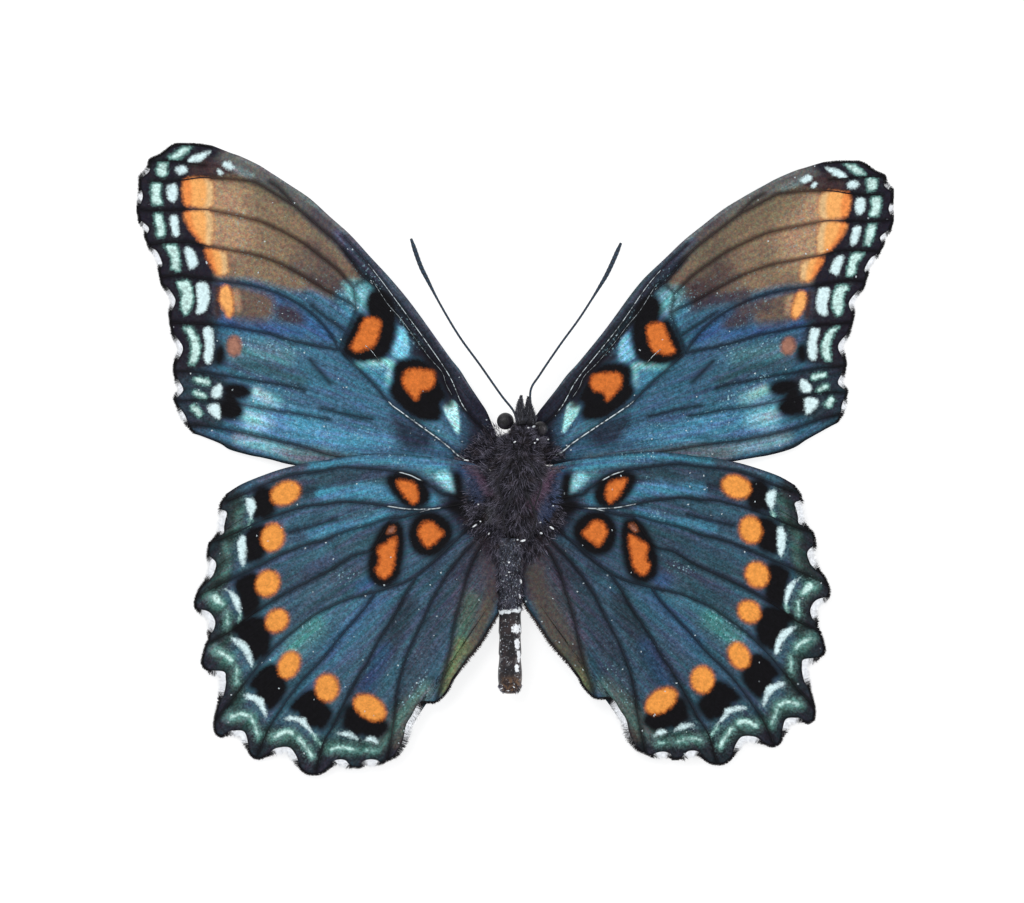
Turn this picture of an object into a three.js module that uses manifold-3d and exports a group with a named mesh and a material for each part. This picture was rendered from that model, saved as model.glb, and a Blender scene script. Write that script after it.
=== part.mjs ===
// A spread, dried butterfly lying on its back, seen from its underside (+Z).
// +Y points to the head, +X to the right of the view, and the origin is on the surface it lies on.
// Outlines and veins are given in plan units, read over the specimen from above: x to the right,
// y down. One plan unit is planScale millimetres.

import * as THREE from 'three';
import { mergeVertices } from 'three/addons/utils/BufferGeometryUtils.js';
import Module from 'manifold-3d';

const wasm = await Module();
wasm.setup();

// Driving dimensions, in millimetres.
const wingspan = 72.4;
const wingThickness = 0.24;
const veinRise = 0.15;
const veinWidth = 0.5;
const veinSteps = 4;
const forewingRootHeight = 1.6;
const hindwingRootHeight = 2.45;
const rootInset = 2.5;
const thoraxDepth = 5.4;
const headDepth = 2.5;
const abdomenDepth = 2.2;
const antennaShaft = 0.24;
const antennaClub = 0.46;
const legThickness = 0.34;
const fitGap = 0.3;
const halfFit = fitGap / 2;

// How the shapes fall away: the powers that bring the wings down to the surface, where the
// hindwing's dome lies, and how much of its size a vein or a leg loses on the way.
const forewingFall = 1.2;
const hindwingFall = 3;
const hindwingDome = { halfWidth: 30, backLength: 34, backFrom: -3 };
const veinTaper = 0.5;
const legTaper = 0.45;
const palpDepthRatio = 1.2;
const clubSpan = [0.68, 0.88];
const clubTip = 0.55;
const tubeSides = { abdomen: 10, palp: 8, antenna: 6, leg: 6 };
const tubeSteps = { palp: 6, antenna: 22, leg: 7 };
const surfaceCut = [20, 30, 10];

// The plan: how wide the spread wings are in it, and the point that lies over the origin.
const planWingspan = 759.1;
const planCentre = [515.17, 459.2];
const planScale = wingspan / planWingspan;

// Forewing outline of the left side, from the body outwards.
const forewing = {
  costa: [[497, 436], [487, 412], [470, 386], [430, 329.5], [400, 290.7], [370, 256.4], [340, 225],
    [310, 198.5], [280, 177.5], [250, 160.5], [212, 145.3]],
  margin: [[212, 145.3], [190, 142.2], [173, 143.4], [160, 152.7], [149.5, 158.5], [146.5, 171],
    [138, 181], [137.5, 189], [141.5, 196], [135.6, 208.5], [139, 222], [147.6, 228],
    [143.6, 236], [147.5, 246], [156, 252], [160.5, 262], [157.6, 272], [162, 286], [174.2, 300],
    [168.6, 316], [172.8, 336], [181.7, 348], [173.2, 368], [176.5, 381], [182.5, 390], [174.2, 400],
    [184, 416], [193, 433.5]],
  inner: [[489, 468], [440, 471], [380, 471], [330, 469], [292.5, 465], [260, 457.3], [230, 449.8],
    [210, 439.5], [193, 433.5]],
  rows: 4,
};

const forewingVeins = [
  [[488, 434], [464, 408], [430, 347], [400, 305.7], [373, 272], [337, 242.5], [300, 210], [270, 190],
    [240, 179.4], [200, 177.5], [148, 181]],
  [[368, 277], [354, 288], [356, 307], [348, 330], [339, 350]],
  [[354, 288], [337, 269], [300, 241], [270, 225], [240, 216], [200, 209], [146, 209]],
  [[356, 307], [333, 294], [300, 274], [270, 260], [240, 251.7], [200, 244], [156, 243.5]],
  [[339, 350], [318, 319], [300, 304], [270, 290.5], [240, 283], [200, 278], [170, 277]],
  [[339, 350], [290, 340], [250, 330], [210, 324], [180, 322.5]],
  [[484, 463], [440, 440], [400, 411], [370, 380], [339, 350]],
  [[392, 406], [350, 398], [298, 388], [240, 377.7], [186, 371.5]],
  [[476, 468], [400, 464], [337, 456], [310, 448.4], [250, 434.4], [200, 425.5]],
];

// Hindwing outline of the left side, from the body outwards.
const hindwing = {
  costa: [[486, 470], [460, 460.7], [430, 457], [400, 453.7], [370, 453.6], [340, 457.3], [310, 463],
    [280, 470], [241, 484.5], [226, 493.9]],
  margin: [[226, 493.9], [219.4, 504], [218.6, 511.6], [225.6, 515], [222.8, 532], [212, 538.5],
    [206.6, 549], [208.8, 558], [214.4, 562], [214, 570.5], [202.7, 582.4], [194, 598],
    [196.5, 611.5], [207.5, 612], [214, 622], [208.5, 633], [201.5, 655], [203, 669], [223.2, 673.6],
    [222.5, 693], [213.6, 716], [217, 737], [240, 731.4], [246.4, 746], [253, 759], [266, 758],
    [279, 748.4], [291, 750], [298, 768.5], [313, 776.2], [329, 770.6], [342, 760.2], [351, 768],
    [361.5, 768], [368, 760.4], [392, 759.6], [404, 744.5], [407.4, 725.3], [420, 704.5],
    [436, 703.6], [455, 678.7]],
  inner: [[502, 560], [500, 604], [494, 618.6], [480, 643.6], [466, 661], [455, 678.7]],
  rows: 4,
};

const hindwingVeins = [
  [[476, 498], [443.8, 494], [417.7, 478.7], [389.7, 470.3], [343, 467], [301.7, 473.3], [264.3, 484.5],
    [232, 499]],
  [[474, 502], [441, 507.7], [399, 507], [343, 501.6], [306.3, 506], [269, 516.7], [241, 530.3],
    [214, 541.5]],
  [[430, 509], [404.6, 516.5], [371, 524], [343, 531.9], [304.5, 545.2], [264.3, 563], [222.3, 583.3],
    [201, 594]],
  [[390, 519], [371, 550], [333.7, 567.9], [297, 587], [259.7, 609], [229.8, 631.9], [210, 642]],
  [[474, 526], [427, 567.5], [399, 583.8], [361.7, 595], [324.3, 610.9], [297, 628], [269, 652.4],
    [241, 688], [220, 718]],
  [[372.9, 593], [344.9, 631.9], [315, 666.4], [283, 705.7], [259, 751]],
  [[414, 577], [392.5, 618.8], [359.8, 673.9], [333.7, 725.3], [316, 768]],
  [[474, 540], [447, 572], [433.5, 597.3], [415.8, 636.5], [401.8, 673], [396, 712], [390, 750]],
];

// Lays the plan of a left wing on the right side: mirrored, turned a little and slightly narrowed.
const rightForewingLay = [-0.9718, -0.0779, 1042.76, 0.0338, 0.8983, 27.03];
const rightHindwingLay = [-0.9842, 0.0367, 999.22, 0.0421, 0.9815, -9.17];
const leftLay = [1, 0, 0, 0, 1, 0];

// Body, in plan units, with heights in millimetres.
const thorax = { at: [519, 487], half: [29, 57], height: 2.55 };
const head = { at: [524, 432], half: [13.5, 9.5], height: 2.9 };
const eyes = {
  eye_left: { at: [505.4, 421.2], radius: 8.6, height: 2.9 },
  eye_right: { at: [540.6, 429], radius: 7.6, height: 2.7 },
};
const palps = {
  palp_left: [[521.2, 424, 4.2], [520, 415, 3.9], [520.2, 406, 3.6], [521.2, 396.5, 3.3]],
  palp_right: [[531, 424, 4.1], [529.6, 415, 3.8], [528.6, 406, 3.5], [528.2, 397.5, 3.2]],
};
const palpHalfWidths = [0.34, 0.34, 0.27, 0.04];
const antennae = {
  antenna_left: [[518, 428, 3.2], [516, 418, 3.2], [512.5, 409.5, 3], [501, 395, 2.8],
    [480, 365, 2.5], [459, 336, 2.1], [440, 304, 1.7], [427, 279, 1.3], [420, 264.5, 1.1],
    [411, 238.6, 0.8]],
  antenna_right: [[529.5, 428, 2.7], [531.5, 415, 2.7], [530.5, 391, 2.75], [540, 374.5, 2.6],
    [560, 345, 2.3], [580, 317.5, 1.9], [600, 286, 1.5], [609, 270, 1.3], [621, 243, 0.9]],
};
const abdomenStations = [[538, 9.6], [546, 11], [566, 11.4], [572, 10.7], [588, 11.1], [594, 10.4],
  [610, 10.7], [615, 10], [631, 10.5], [636, 9.9], [652, 10.5], [657, 10.3], [671, 11.4], [681, 11.4],
  [689, 9.6], [693, 5]];
const abdomenWidest = 11.4;
const abdomenAxis = 510;
const abdomenHeights = [3, 2.2];
const legs = {
  leg_middle_left: [[512, 458], [501, 476], [498, 486], [506, 510]],
  leg_middle_right: [[527, 458], [538, 476], [541, 486], [533, 510]],
  leg_hind_left: [[513, 492], [504, 514], [504, 524], [510, 540]],
  leg_hind_right: [[526, 492], [535, 514], [535, 524], [528, 540]],
};

const colours = {
  wing: 0x3f5f74,
  thorax: 0x2c2a33,
  head: 0x24222a,
  eye: 0x1c1418,
  palp: 0x33343d,
  abdomen: 0x2b2422,
  antenna: 0x1d2a33,
  leg: 0x23232b,
};

function planX(x) {
  return (x - planCentre[0]) * planScale;
}

function planY(y) {
  return (planCentre[1] - y) * planScale;
}

function lay(point, matrix) {
  const [a, b, c, d, e, f] = matrix;
  return [a * point[0] + b * point[1] + c, d * point[0] + e * point[1] + f];
}

// Points spaced evenly along a smooth curve through the given plan points.
function curvePoints(points, count) {
  const curve = new THREE.SplineCurve(points.map(([x, y]) => new THREE.Vector2(x, y)));
  return curve.getSpacedPoints(count).map((p) => [p.x, p.y]);
}

function closedGeometry(vertices, triangles) {
  const geometry = new THREE.BufferGeometry();
  geometry.setAttribute('position', new THREE.Float32BufferAttribute(vertices.flat(), 3));
  geometry.setIndex(triangles.flat());
  return geometry;
}

function toSolid(geometry) {
  const bare = geometry.clone();
  bare.deleteAttribute('normal');
  bare.deleteAttribute('uv');
  const merged = mergeVertices(bare);
  return new wasm.Manifold(new wasm.Mesh({
    numProp: 3,
    vertProperties: new Float32Array(merged.attributes.position.array),
    triVerts: new Uint32Array(merged.index.array),
  }));
}

function toGeometry(solid) {
  const mesh = solid.getMesh();
  const geometry = new THREE.BufferGeometry();
  geometry.setAttribute('position', new THREE.BufferAttribute(mesh.vertProperties, 3));
  geometry.setIndex(new THREE.BufferAttribute(mesh.triVerts, 1));
  geometry.computeVertexNormals();
  return geometry;
}

// An ellipsoid with its poles along the body, grown all round by the given amount.
function ellipsoid(at, half, halfDepth, height, grow = 0) {
  const geometry = new THREE.SphereGeometry(1, 16, 8);
  geometry.scale(half[0] * planScale + grow, half[1] * planScale + grow, halfDepth + grow);
  geometry.translate(planX(at[0]), planY(at[1]), height);
  return toSolid(geometry);
}

// A tube of elliptical rings along a path that runs mostly level, closed by a fan at each end.
function tubeAlong(path, halfWidths, halfDepths, sides) {
  const vertices = [];
  const triangles = [];
  const up = new THREE.Vector3(0, 0, 1);
  path.forEach((centre, i) => {
    const ahead = path[Math.min(i + 1, path.length - 1)].clone();
    const tangent = ahead.sub(path[Math.max(i - 1, 0)]).normalize();
    const across = new THREE.Vector3().crossVectors(tangent, up).normalize();
    const upright = new THREE.Vector3().crossVectors(across, tangent);
    for (let k = 0; k < sides; k += 1) {
      const angle = (2 * Math.PI * k) / sides;
      const point = centre.clone()
        .addScaledVector(across, halfWidths[i] * Math.cos(angle))
        .addScaledVector(upright, halfDepths[i] * Math.sin(angle));
      vertices.push([point.x, point.y, point.z]);
    }
  });
  const first = vertices.length;
  const last = path.length - 1;
  vertices.push(path[0].toArray(), path[last].toArray());
  for (let k = 0; k < sides; k += 1) {
    const next = (k + 1) % sides;
    for (let i = 0; i < last; i += 1) {
      const a = i * sides + k;
      const b = i * sides + next;
      triangles.push([a, a + sides, b], [b, a + sides, b + sides]);
    }
    triangles.push([first, k, next], [first + 1, last * sides + next, last * sides + k]);
  }
  return facingOut(closedGeometry(vertices, triangles));
}

// Turns every face round if the closed shape encloses a negative volume.
function facingOut(geometry) {
  const position = geometry.attributes.position;
  const index = geometry.index;
  const [a, b, c] = [new THREE.Vector3(), new THREE.Vector3(), new THREE.Vector3()];
  let volume = 0;
  for (let i = 0; i < index.count; i += 3) {
    a.fromBufferAttribute(position, index.getX(i));
    b.fromBufferAttribute(position, index.getX(i + 1));
    c.fromBufferAttribute(position, index.getX(i + 2));
    volume += a.dot(b.cross(c));
  }
  if (volume < 0) {
    for (let i = 0; i < index.count; i += 3) {
      const swap = index.getX(i);
      index.setX(i, index.getX(i + 1));
      index.setX(i + 1, swap);
    }
  }
  return geometry;
}

// Height of a forewing's middle surface: it sinks evenly from the root to its outermost point.
function forewingHeight(reach) {
  const half = wingThickness / 2;
  return (x) => {
    const along = Math.min(Math.max((Math.abs(x) - rootInset) / (reach - rootInset), 0), 1);
    return half + (forewingRootHeight - half) * (1 - along ** forewingFall);
  };
}

// Height of a hindwing's middle surface: a low dome that drops to the surface at its far margin.
function hindwingSpread(x, y) {
  const out = Math.max(Math.abs(x) - rootInset, 0) / hindwingDome.halfWidth;
  const back = Math.max(hindwingDome.backFrom - y, 0) / hindwingDome.backLength;
  return Math.hypot(out, back);
}

function hindwingHeight(reach) {
  const half = wingThickness / 2;
  return (x, y) => {
    const along = Math.min(hindwingSpread(x, y) / reach, 1);
    return half + (hindwingRootHeight - half) * (1 - along ** hindwingFall);
  };
}

// The membrane: a grid between the root, the two long edges and the scalloped margin, blended from
// its four sides, with a lower and an upper face and a rim.
function membrane(outline, matrix, heightAt) {
  const columns = outline.margin.length - 1;
  const rows = outline.rows;
  const costa = curvePoints(outline.costa, rows);
  const inner = curvePoints(outline.inner, rows);
  const margin = outline.margin;
  const root = margin.map((point, j) => {
    const v = j / columns;
    return [0, 1].map((n) => costa[0][n] * (1 - v) + inner[0][n] * v);
  });
  const vertices = [];
  const triangles = [];
  for (const side of [-1, 1]) {
    for (let i = 0; i <= rows; i += 1) {
      for (let j = 0; j <= columns; j += 1) {
        const [u, v] = [i / rows, j / columns];
        const blended = [0, 1].map((n) => {
          const long = costa[i][n] * (1 - v) + inner[i][n] * v;
          const short = root[j][n] * (1 - u) + margin[j][n] * u;
          const corners = (costa[0][n] * (1 - v) + inner[0][n] * v) * (1 - u)
            + (costa[rows][n] * (1 - v) + inner[rows][n] * v) * u;
          return long + short - corners;
        });
        const [px, py] = lay(blended, matrix);
        const [x, y] = [planX(px), planY(py)];
        vertices.push([x, y, heightAt(x, y) + (side * wingThickness) / 2]);
      }
    }
  }
  const wide = columns + 1;
  const upper = wide * (rows + 1);
  const quad = (a, b, c, d) => triangles.push([a, b, c], [a, c, d]);
  for (let i = 0; i < rows; i += 1) {
    for (let j = 0; j < columns; j += 1) {
      const a = i * wide + j;
      quad(a, a + 1, a + wide + 1, a + wide);
      quad(upper + a, upper + a + wide, upper + a + wide + 1, upper + a + 1);
    }
  }
  for (let j = 0; j < columns; j += 1) {
    const far = rows * wide + j;
    quad(j + 1, j, upper + j, upper + j + 1);
    quad(far, far + 1, upper + far + 1, upper + far);
  }
  for (let i = 0; i < rows; i += 1) {
    const near = i * wide;
    const end = near + columns;
    quad(near, near + wide, upper + near + wide, upper + near);
    quad(end + wide, end, upper + end, upper + end + wide);
  }
  return toSolid(facingOut(closedGeometry(vertices, triangles)));
}

// One vein: a ridge with a three-cornered section, sunk to the middle of the membrane.
function veinRidge(points, matrix, heightAt) {
  const path = curvePoints(points, veinSteps).map((point) => lay(point, matrix));
  const last = path.length - 1;
  const vertices = [];
  path.forEach(([px, py], i) => {
    const before = path[Math.max(i - 1, 0)];
    const after = path[Math.min(i + 1, last)];
    const tangent = new THREE.Vector2(after[0] - before[0], before[1] - after[1]).normalize();
    const taper = 1 - veinTaper * (i / last);
    const half = (veinWidth / 2) * taper;
    const [x, y] = [planX(px), planY(py)];
    const [sideX, sideY] = [-tangent.y * half, tangent.x * half];
    const z = heightAt(x, y);
    vertices.push([x - sideX, y - sideY, z], [x + sideX, y + sideY, z]);
    vertices.push([x, y, z + wingThickness / 2 + veinRise * taper]);
  });
  const triangles = [[0, 2, 1], [last * 3, last * 3 + 1, last * 3 + 2]];
  for (let i = 0; i < last; i += 1) {
    for (let k = 0; k < 3; k += 1) {
      const [a, b] = [i * 3 + k, i * 3 + ((k + 1) % 3)];
      triangles.push([a, b, b + 3], [a, b + 3, a + 3]);
    }
  }
  return toSolid(facingOut(closedGeometry(vertices, triangles)));
}

function marginInPlace(outline, matrix) {
  return outline.margin.map((point) => {
    const [px, py] = lay(point, matrix);
    return [planX(px), planY(py)];
  });
}

function wing(outline, veins, matrix, heightAt, bodies) {
  let solid = membrane(outline, matrix, heightAt);
  for (const vein of veins) solid = solid.add(veinRidge(vein, matrix, heightAt));
  for (const body of bodies) solid = solid.subtract(body);
  return toGeometry(solid);
}

function thoraxSolid(grow = 0) {
  return ellipsoid(thorax.at, thorax.half, thoraxDepth - thorax.height, thorax.height, grow);
}

// The thorax is cut off level underneath, where the specimen rests on its back.
function thoraxGeometry() {
  const below = new THREE.BoxGeometry(...surfaceCut);
  below.translate(planX(thorax.at[0]), planY(thorax.at[1]), -surfaceCut[2] / 2);
  return toGeometry(thoraxSolid().subtract(toSolid(below)));
}

function abdomenSolid(grow = 0) {
  const first = abdomenStations[0][0];
  const length = abdomenStations[abdomenStations.length - 1][0] - first;
  const path = abdomenStations.map(([y]) => {
    const along = (y - first) / length;
    const height = THREE.MathUtils.lerp(abdomenHeights[0], abdomenHeights[1], along);
    return new THREE.Vector3(planX(abdomenAxis), planY(y), height);
  });
  const depthPerHalf = abdomenDepth / 2 / abdomenWidest;
  const halfWidths = abdomenStations.map(([, half]) => half * planScale + grow);
  const halfDepths = abdomenStations.map(([, half]) => half * depthPerHalf + grow);
  return toSolid(tubeAlong(path, halfWidths, halfDepths, tubeSides.abdomen));
}

function headSolid(grow = 0) {
  return ellipsoid(head.at, head.half, headDepth / 2, head.height, grow);
}

function eyeSolid(eye, grow = 0) {
  const half = [eye.radius, eye.radius];
  return ellipsoid(eye.at, half, eye.radius * planScale, eye.height, grow);
}

// A path of plan points with a height each, smoothed into the given number of steps.
function spacePath(points, steps) {
  const corners = points.map(([x, y, z]) => new THREE.Vector3(planX(x), planY(y), z));
  return new THREE.CatmullRomCurve3(corners).getSpacedPoints(steps);
}

function palpSolid(points) {
  const steps = tubeSteps.palp;
  const path = spacePath(points, steps);
  const halfWidths = path.map((point, i) => {
    const place = (i / steps) * (palpHalfWidths.length - 1);
    const k = Math.min(Math.floor(place), palpHalfWidths.length - 2);
    return THREE.MathUtils.lerp(palpHalfWidths[k], palpHalfWidths[k + 1], place - k);
  });
  const halfDepths = halfWidths.map((half) => half * palpDepthRatio);
  return toSolid(tubeAlong(path, halfWidths, halfDepths, tubeSides.palp));
}

// An antenna: a thread that swells into a slim club over its last quarter.
function antennaSolid(points) {
  const steps = tubeSteps.antenna;
  const path = spacePath(points, steps);
  const radii = path.map((point, i) => {
    const club = THREE.MathUtils.smoothstep(i / steps, ...clubSpan);
    const tip = i === steps ? clubTip : 1;
    return (THREE.MathUtils.lerp(antennaShaft, antennaClub, club) / 2) * tip;
  });
  return toSolid(tubeAlong(path, radii, radii, tubeSides.antenna));
}

// A folded leg lies just clear of the thorax, following its curve.
function legSolid(points) {
  const steps = tubeSteps.leg;
  const clear = fitGap + legThickness / 2;
  const path = curvePoints(points, steps).map(([x, y]) => {
    const across = (x - thorax.at[0]) / thorax.half[0];
    const along = (y - thorax.at[1]) / thorax.half[1];
    const bulge = Math.sqrt(Math.max(1 - across ** 2 - along ** 2, 0));
    const height = thorax.height + (thoraxDepth - thorax.height) * bulge + clear;
    return new THREE.Vector3(planX(x), planY(y), height);
  });
  const radii = path.map((point, i) => (legThickness / 2) * (1 - legTaper * (i / steps)));
  return toSolid(tubeAlong(path, radii, radii, tubeSides.leg)).subtract(thoraxSolid(halfFit));
}

function piece(name, geometry, colour, roughness) {
  const material = new THREE.MeshStandardMaterial({ color: colour, roughness, metalness: 0 });
  const mesh = new THREE.Mesh(geometry, material);
  mesh.name = name;
  return mesh;
}

const group = new THREE.Group();
const bodyGroup = new THREE.Group();
const wingGroup = new THREE.Group();
group.add(bodyGroup, wingGroup);

const thoraxClear = thoraxSolid(fitGap);
const abdomenClear = abdomenSolid(fitGap);

bodyGroup.add(piece('thorax', thoraxGeometry(), colours.thorax, 0.95));
bodyGroup.add(piece('abdomen', toGeometry(abdomenSolid().subtract(thoraxClear)), colours.abdomen, 0.45));

let headCut = headSolid().subtract(thoraxClear);
for (const eye of Object.values(eyes)) headCut = headCut.subtract(eyeSolid(eye, halfFit));
bodyGroup.add(piece('head', toGeometry(headCut), colours.head, 0.9));

for (const [name, eye] of Object.entries(eyes)) {
  const solid = eyeSolid(eye).subtract(thoraxSolid(halfFit));
  bodyGroup.add(piece(name, toGeometry(solid), colours.eye, 0.25));
}

for (const [name, points] of Object.entries(palps)) {
  const solid = palpSolid(points).subtract(headSolid(halfFit)).subtract(thoraxClear);
  bodyGroup.add(piece(name, toGeometry(solid), colours.palp, 0.9));
}

for (const [name, points] of Object.entries(antennae)) {
  let solid = antennaSolid(points).subtract(headSolid(halfFit));
  for (const eye of Object.values(eyes)) solid = solid.subtract(eyeSolid(eye, halfFit));
  for (const palp of Object.values(palps)) solid = solid.subtract(palpSolid(palp));
  bodyGroup.add(piece(name, toGeometry(solid), colours.antenna, 0.5));
}

for (const [name, points] of Object.entries(legs)) {
  bodyGroup.add(piece(name, toGeometry(legSolid(points)), colours.leg, 0.7));
}

const sides = [['left', leftLay, leftLay], ['right', rightForewingLay, rightHindwingLay]];
for (const [side, foreLay, hindLay] of sides) {
  const foreReach = Math.max(...marginInPlace(forewing, foreLay).map(([x]) => Math.abs(x)));
  const hindReach = Math.max(...marginInPlace(hindwing, hindLay).map(([x, y]) => hindwingSpread(x, y)));
  const bodies = [thoraxClear, abdomenClear, headSolid(fitGap), eyeSolid(eyes[`eye_${side}`], fitGap)];
  const fore = wing(forewing, forewingVeins, foreLay, forewingHeight(foreReach), bodies);
  const hind = wing(hindwing, hindwingVeins, hindLay, hindwingHeight(hindReach), bodies);
  wingGroup.add(piece(`forewing_${side}`, fore, colours.wing, 0.6));
  wingGroup.add(piece(`hindwing_${side}`, hind, colours.wing, 0.6));
}

export default group;
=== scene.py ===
import math

import bpy
import numpy as np
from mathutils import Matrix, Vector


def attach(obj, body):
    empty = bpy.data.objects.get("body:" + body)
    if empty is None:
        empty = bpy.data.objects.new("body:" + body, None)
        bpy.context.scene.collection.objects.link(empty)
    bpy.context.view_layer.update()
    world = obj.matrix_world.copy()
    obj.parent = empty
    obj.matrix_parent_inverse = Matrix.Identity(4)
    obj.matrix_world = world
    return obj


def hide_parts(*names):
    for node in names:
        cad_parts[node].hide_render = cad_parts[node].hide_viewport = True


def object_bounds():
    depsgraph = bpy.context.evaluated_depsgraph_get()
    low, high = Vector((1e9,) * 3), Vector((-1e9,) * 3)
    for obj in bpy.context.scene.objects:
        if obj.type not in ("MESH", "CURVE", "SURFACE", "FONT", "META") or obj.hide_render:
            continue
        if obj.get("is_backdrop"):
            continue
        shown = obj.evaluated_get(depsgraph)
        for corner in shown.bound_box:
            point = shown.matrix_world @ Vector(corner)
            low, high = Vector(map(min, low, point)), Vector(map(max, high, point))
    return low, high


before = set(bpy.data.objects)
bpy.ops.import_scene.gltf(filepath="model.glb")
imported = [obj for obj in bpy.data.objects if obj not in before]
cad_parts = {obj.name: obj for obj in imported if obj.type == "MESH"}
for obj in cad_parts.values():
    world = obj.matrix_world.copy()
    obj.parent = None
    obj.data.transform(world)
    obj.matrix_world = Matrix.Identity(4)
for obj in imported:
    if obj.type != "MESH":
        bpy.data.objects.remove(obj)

cadLow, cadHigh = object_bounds()
mm = 0.001
random = np.random.default_rng(11)

# The plan: read over the specimen, x to the right and y down. One unit is about 0.095 mm.
plan = {"span": 759.1, "centre": (515.17, 459.2)}
unit = (cadHigh.x - cadLow.x) / plan["span"]


# Plan points from plain numbers, two for each point.
def pts(*numbers):
    return np.array(numbers, float).reshape(-1, 2)


# Plan points with a value at the end of each.
def triples(*numbers):
    return np.array(numbers, float).reshape(-1, 3)


# Plan to metres: x from the centre to the right, y from the centre upwards.
def toX(x):
    return (x - plan["centre"][0]) * unit


def toY(y):
    return (plan["centre"][1] - y) * unit


# Points in metres back to plan x and y.
def toPlan(points):
    return plan["centre"][0] + points[:, 0] / unit, plan["centre"][1] - points[:, 1] / unit


# An sRGB colour, 0 to 255, as the linear colour that the shaders use.
def paint(red, green, blue):
    share = np.array([red, green, blue]) / 255
    return np.where(share <= 0.04045, share / 12.92, ((share + 0.055) / 1.055) ** 2.4)


# 0 below, 1 above, and 3t^2 - 2t^3 between.
def ease(value, low=0.0, high=1.0):
    t = np.clip((value - low) / (high - low), 0, 1)
    return t * t * (3 - 2 * t)


print("camera and light")
camera = {"aim": (512.0, 451.5), "distance": 0.8, "imageWidth": 1024, "sensor": 36.0}
light = {
    "world": (0.98, 0.99, 1.0), "worldStrength": 0.6,
    "key": 1.45, "keyAt": (-0.2, 0.26, 0.5), "keySize": 0.3,
    "strip": 0.9, "stripAt": (0.52, 0.06, 0.24), "stripSize": 0.14,
    "floor": (0.3, 0.3, 0.3), "floorGlow": 0.8, "floorSide": 3.0,
}
scene = bpy.context.scene
scene.view_settings.view_transform = "Standard"
cameraData = bpy.data.cameras.new("overhead")
cameraData.sensor_width = camera["sensor"]
cameraData.lens = camera["sensor"] * camera["distance"] / (camera["imageWidth"] * unit)
cameraData.clip_start = 0.01
cameraData.clip_end = 20
cameraObject = bpy.data.objects.new("overhead", cameraData)
cameraObject.location = (toX(camera["aim"][0]), toY(camera["aim"][1]), camera["distance"] + 1 * mm)
scene.collection.objects.link(cameraObject)
scene.camera = cameraObject

world = bpy.data.worlds.new("studio")
scene.world = world
world.use_nodes = True
world.node_tree.nodes["Background"].inputs["Color"].default_value = (*light["world"], 1)
world.node_tree.nodes["Background"].inputs["Strength"].default_value = light["worldStrength"]


# A round soft light that shines on the origin: tilt and turn from its place.
def areaLight(name, power, at, size):
    data = bpy.data.lights.new(name, "AREA")
    data.shape = "DISK"
    data.size = size
    data.energy = power
    lamp = bpy.data.objects.new(name, data)
    lamp.location = at
    target = -np.array(at)
    lamp.rotation_euler = (math.atan2(math.hypot(target[0], target[1]), -target[2]), 0,
                           math.atan2(target[1], target[0]) - math.pi / 2)
    scene.collection.objects.link(lamp)


areaLight("key", light["key"], light["keyAt"], light["keySize"])
areaLight("strip", light["strip"], light["stripAt"], light["stripSize"])


print("shader parts")


# A node with its settings.
def addNode(tree, kind, **settings):
    made = tree.nodes.new(kind)
    for name, value in settings.items():
        setattr(made, name, value)
    return made


# Sets a socket from a number, a colour or another socket.
def feed(tree, source, socket):
    if isinstance(source, bpy.types.NodeSocket):
        tree.links.new(source, socket)
    elif np.ndim(source) == 0:
        socket.default_value = float(source)
    else:
        length = len(socket.default_value)
        socket.default_value = (*[float(v) for v in source], 1.0)[:length]


# A math node on two numbers or sockets.
def calc(tree, operation, a, b=0.0, clamp=False):
    made = addNode(tree, "ShaderNodeMath", operation=operation, use_clamp=clamp)
    feed(tree, a, made.inputs[0])
    feed(tree, b, made.inputs[1])
    return made.outputs[0]


# The product of two.
def times(tree, a, b):
    return calc(tree, "MULTIPLY", a, b)


# Two colours mixed by a share of the second, or by another of the Mix node's kinds.
def mixed(tree, share, low, high, kind="MIX"):
    made = addNode(tree, "ShaderNodeMix", data_type="RGBA", blend_type=kind)
    feed(tree, share, made.inputs[0])
    feed(tree, low, made.inputs[6])
    feed(tree, high, made.inputs[7])
    return made.outputs[2]


# A value moved from one range to another, eased at both ends or straight.
def ranged(tree, value, low, high, toLow=0.0, toHigh=1.0, smooth=True):
    made = addNode(tree, "ShaderNodeMapRange", interpolation_type="SMOOTHSTEP" if smooth else "LINEAR")
    for socket, source in zip(made.inputs[:5], (value, low, high, toLow, toHigh)):
        feed(tree, source, socket)
    return made.outputs[0]


# Fractal noise at a place, from 0 to 1.
def noise(tree, point, scale, detail=2.0, roughness=0.5):
    made = addNode(tree, "ShaderNodeTexNoise")
    feed(tree, point, made.inputs["Vector"])
    feed(tree, scale, made.inputs["Scale"])
    feed(tree, detail, made.inputs["Detail"])
    feed(tree, roughness, made.inputs["Roughness"])
    return made.outputs["Fac"]


# An empty shader group with named inputs (name, kind, first value) and outputs (name, kind).
def newGroup(name, inputs, outputs):
    group = bpy.data.node_groups.new(name, "ShaderNodeTree")
    for label, kind, value in inputs:
        socket = group.interface.new_socket(label, in_out="INPUT", socket_type=kind)
        if value is not None:
            socket.default_value = value
    for label, kind in outputs:
        group.interface.new_socket(label, in_out="OUTPUT", socket_type=kind)
    return group, addNode(group, "NodeGroupInput"), addNode(group, "NodeGroupOutput")


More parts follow.
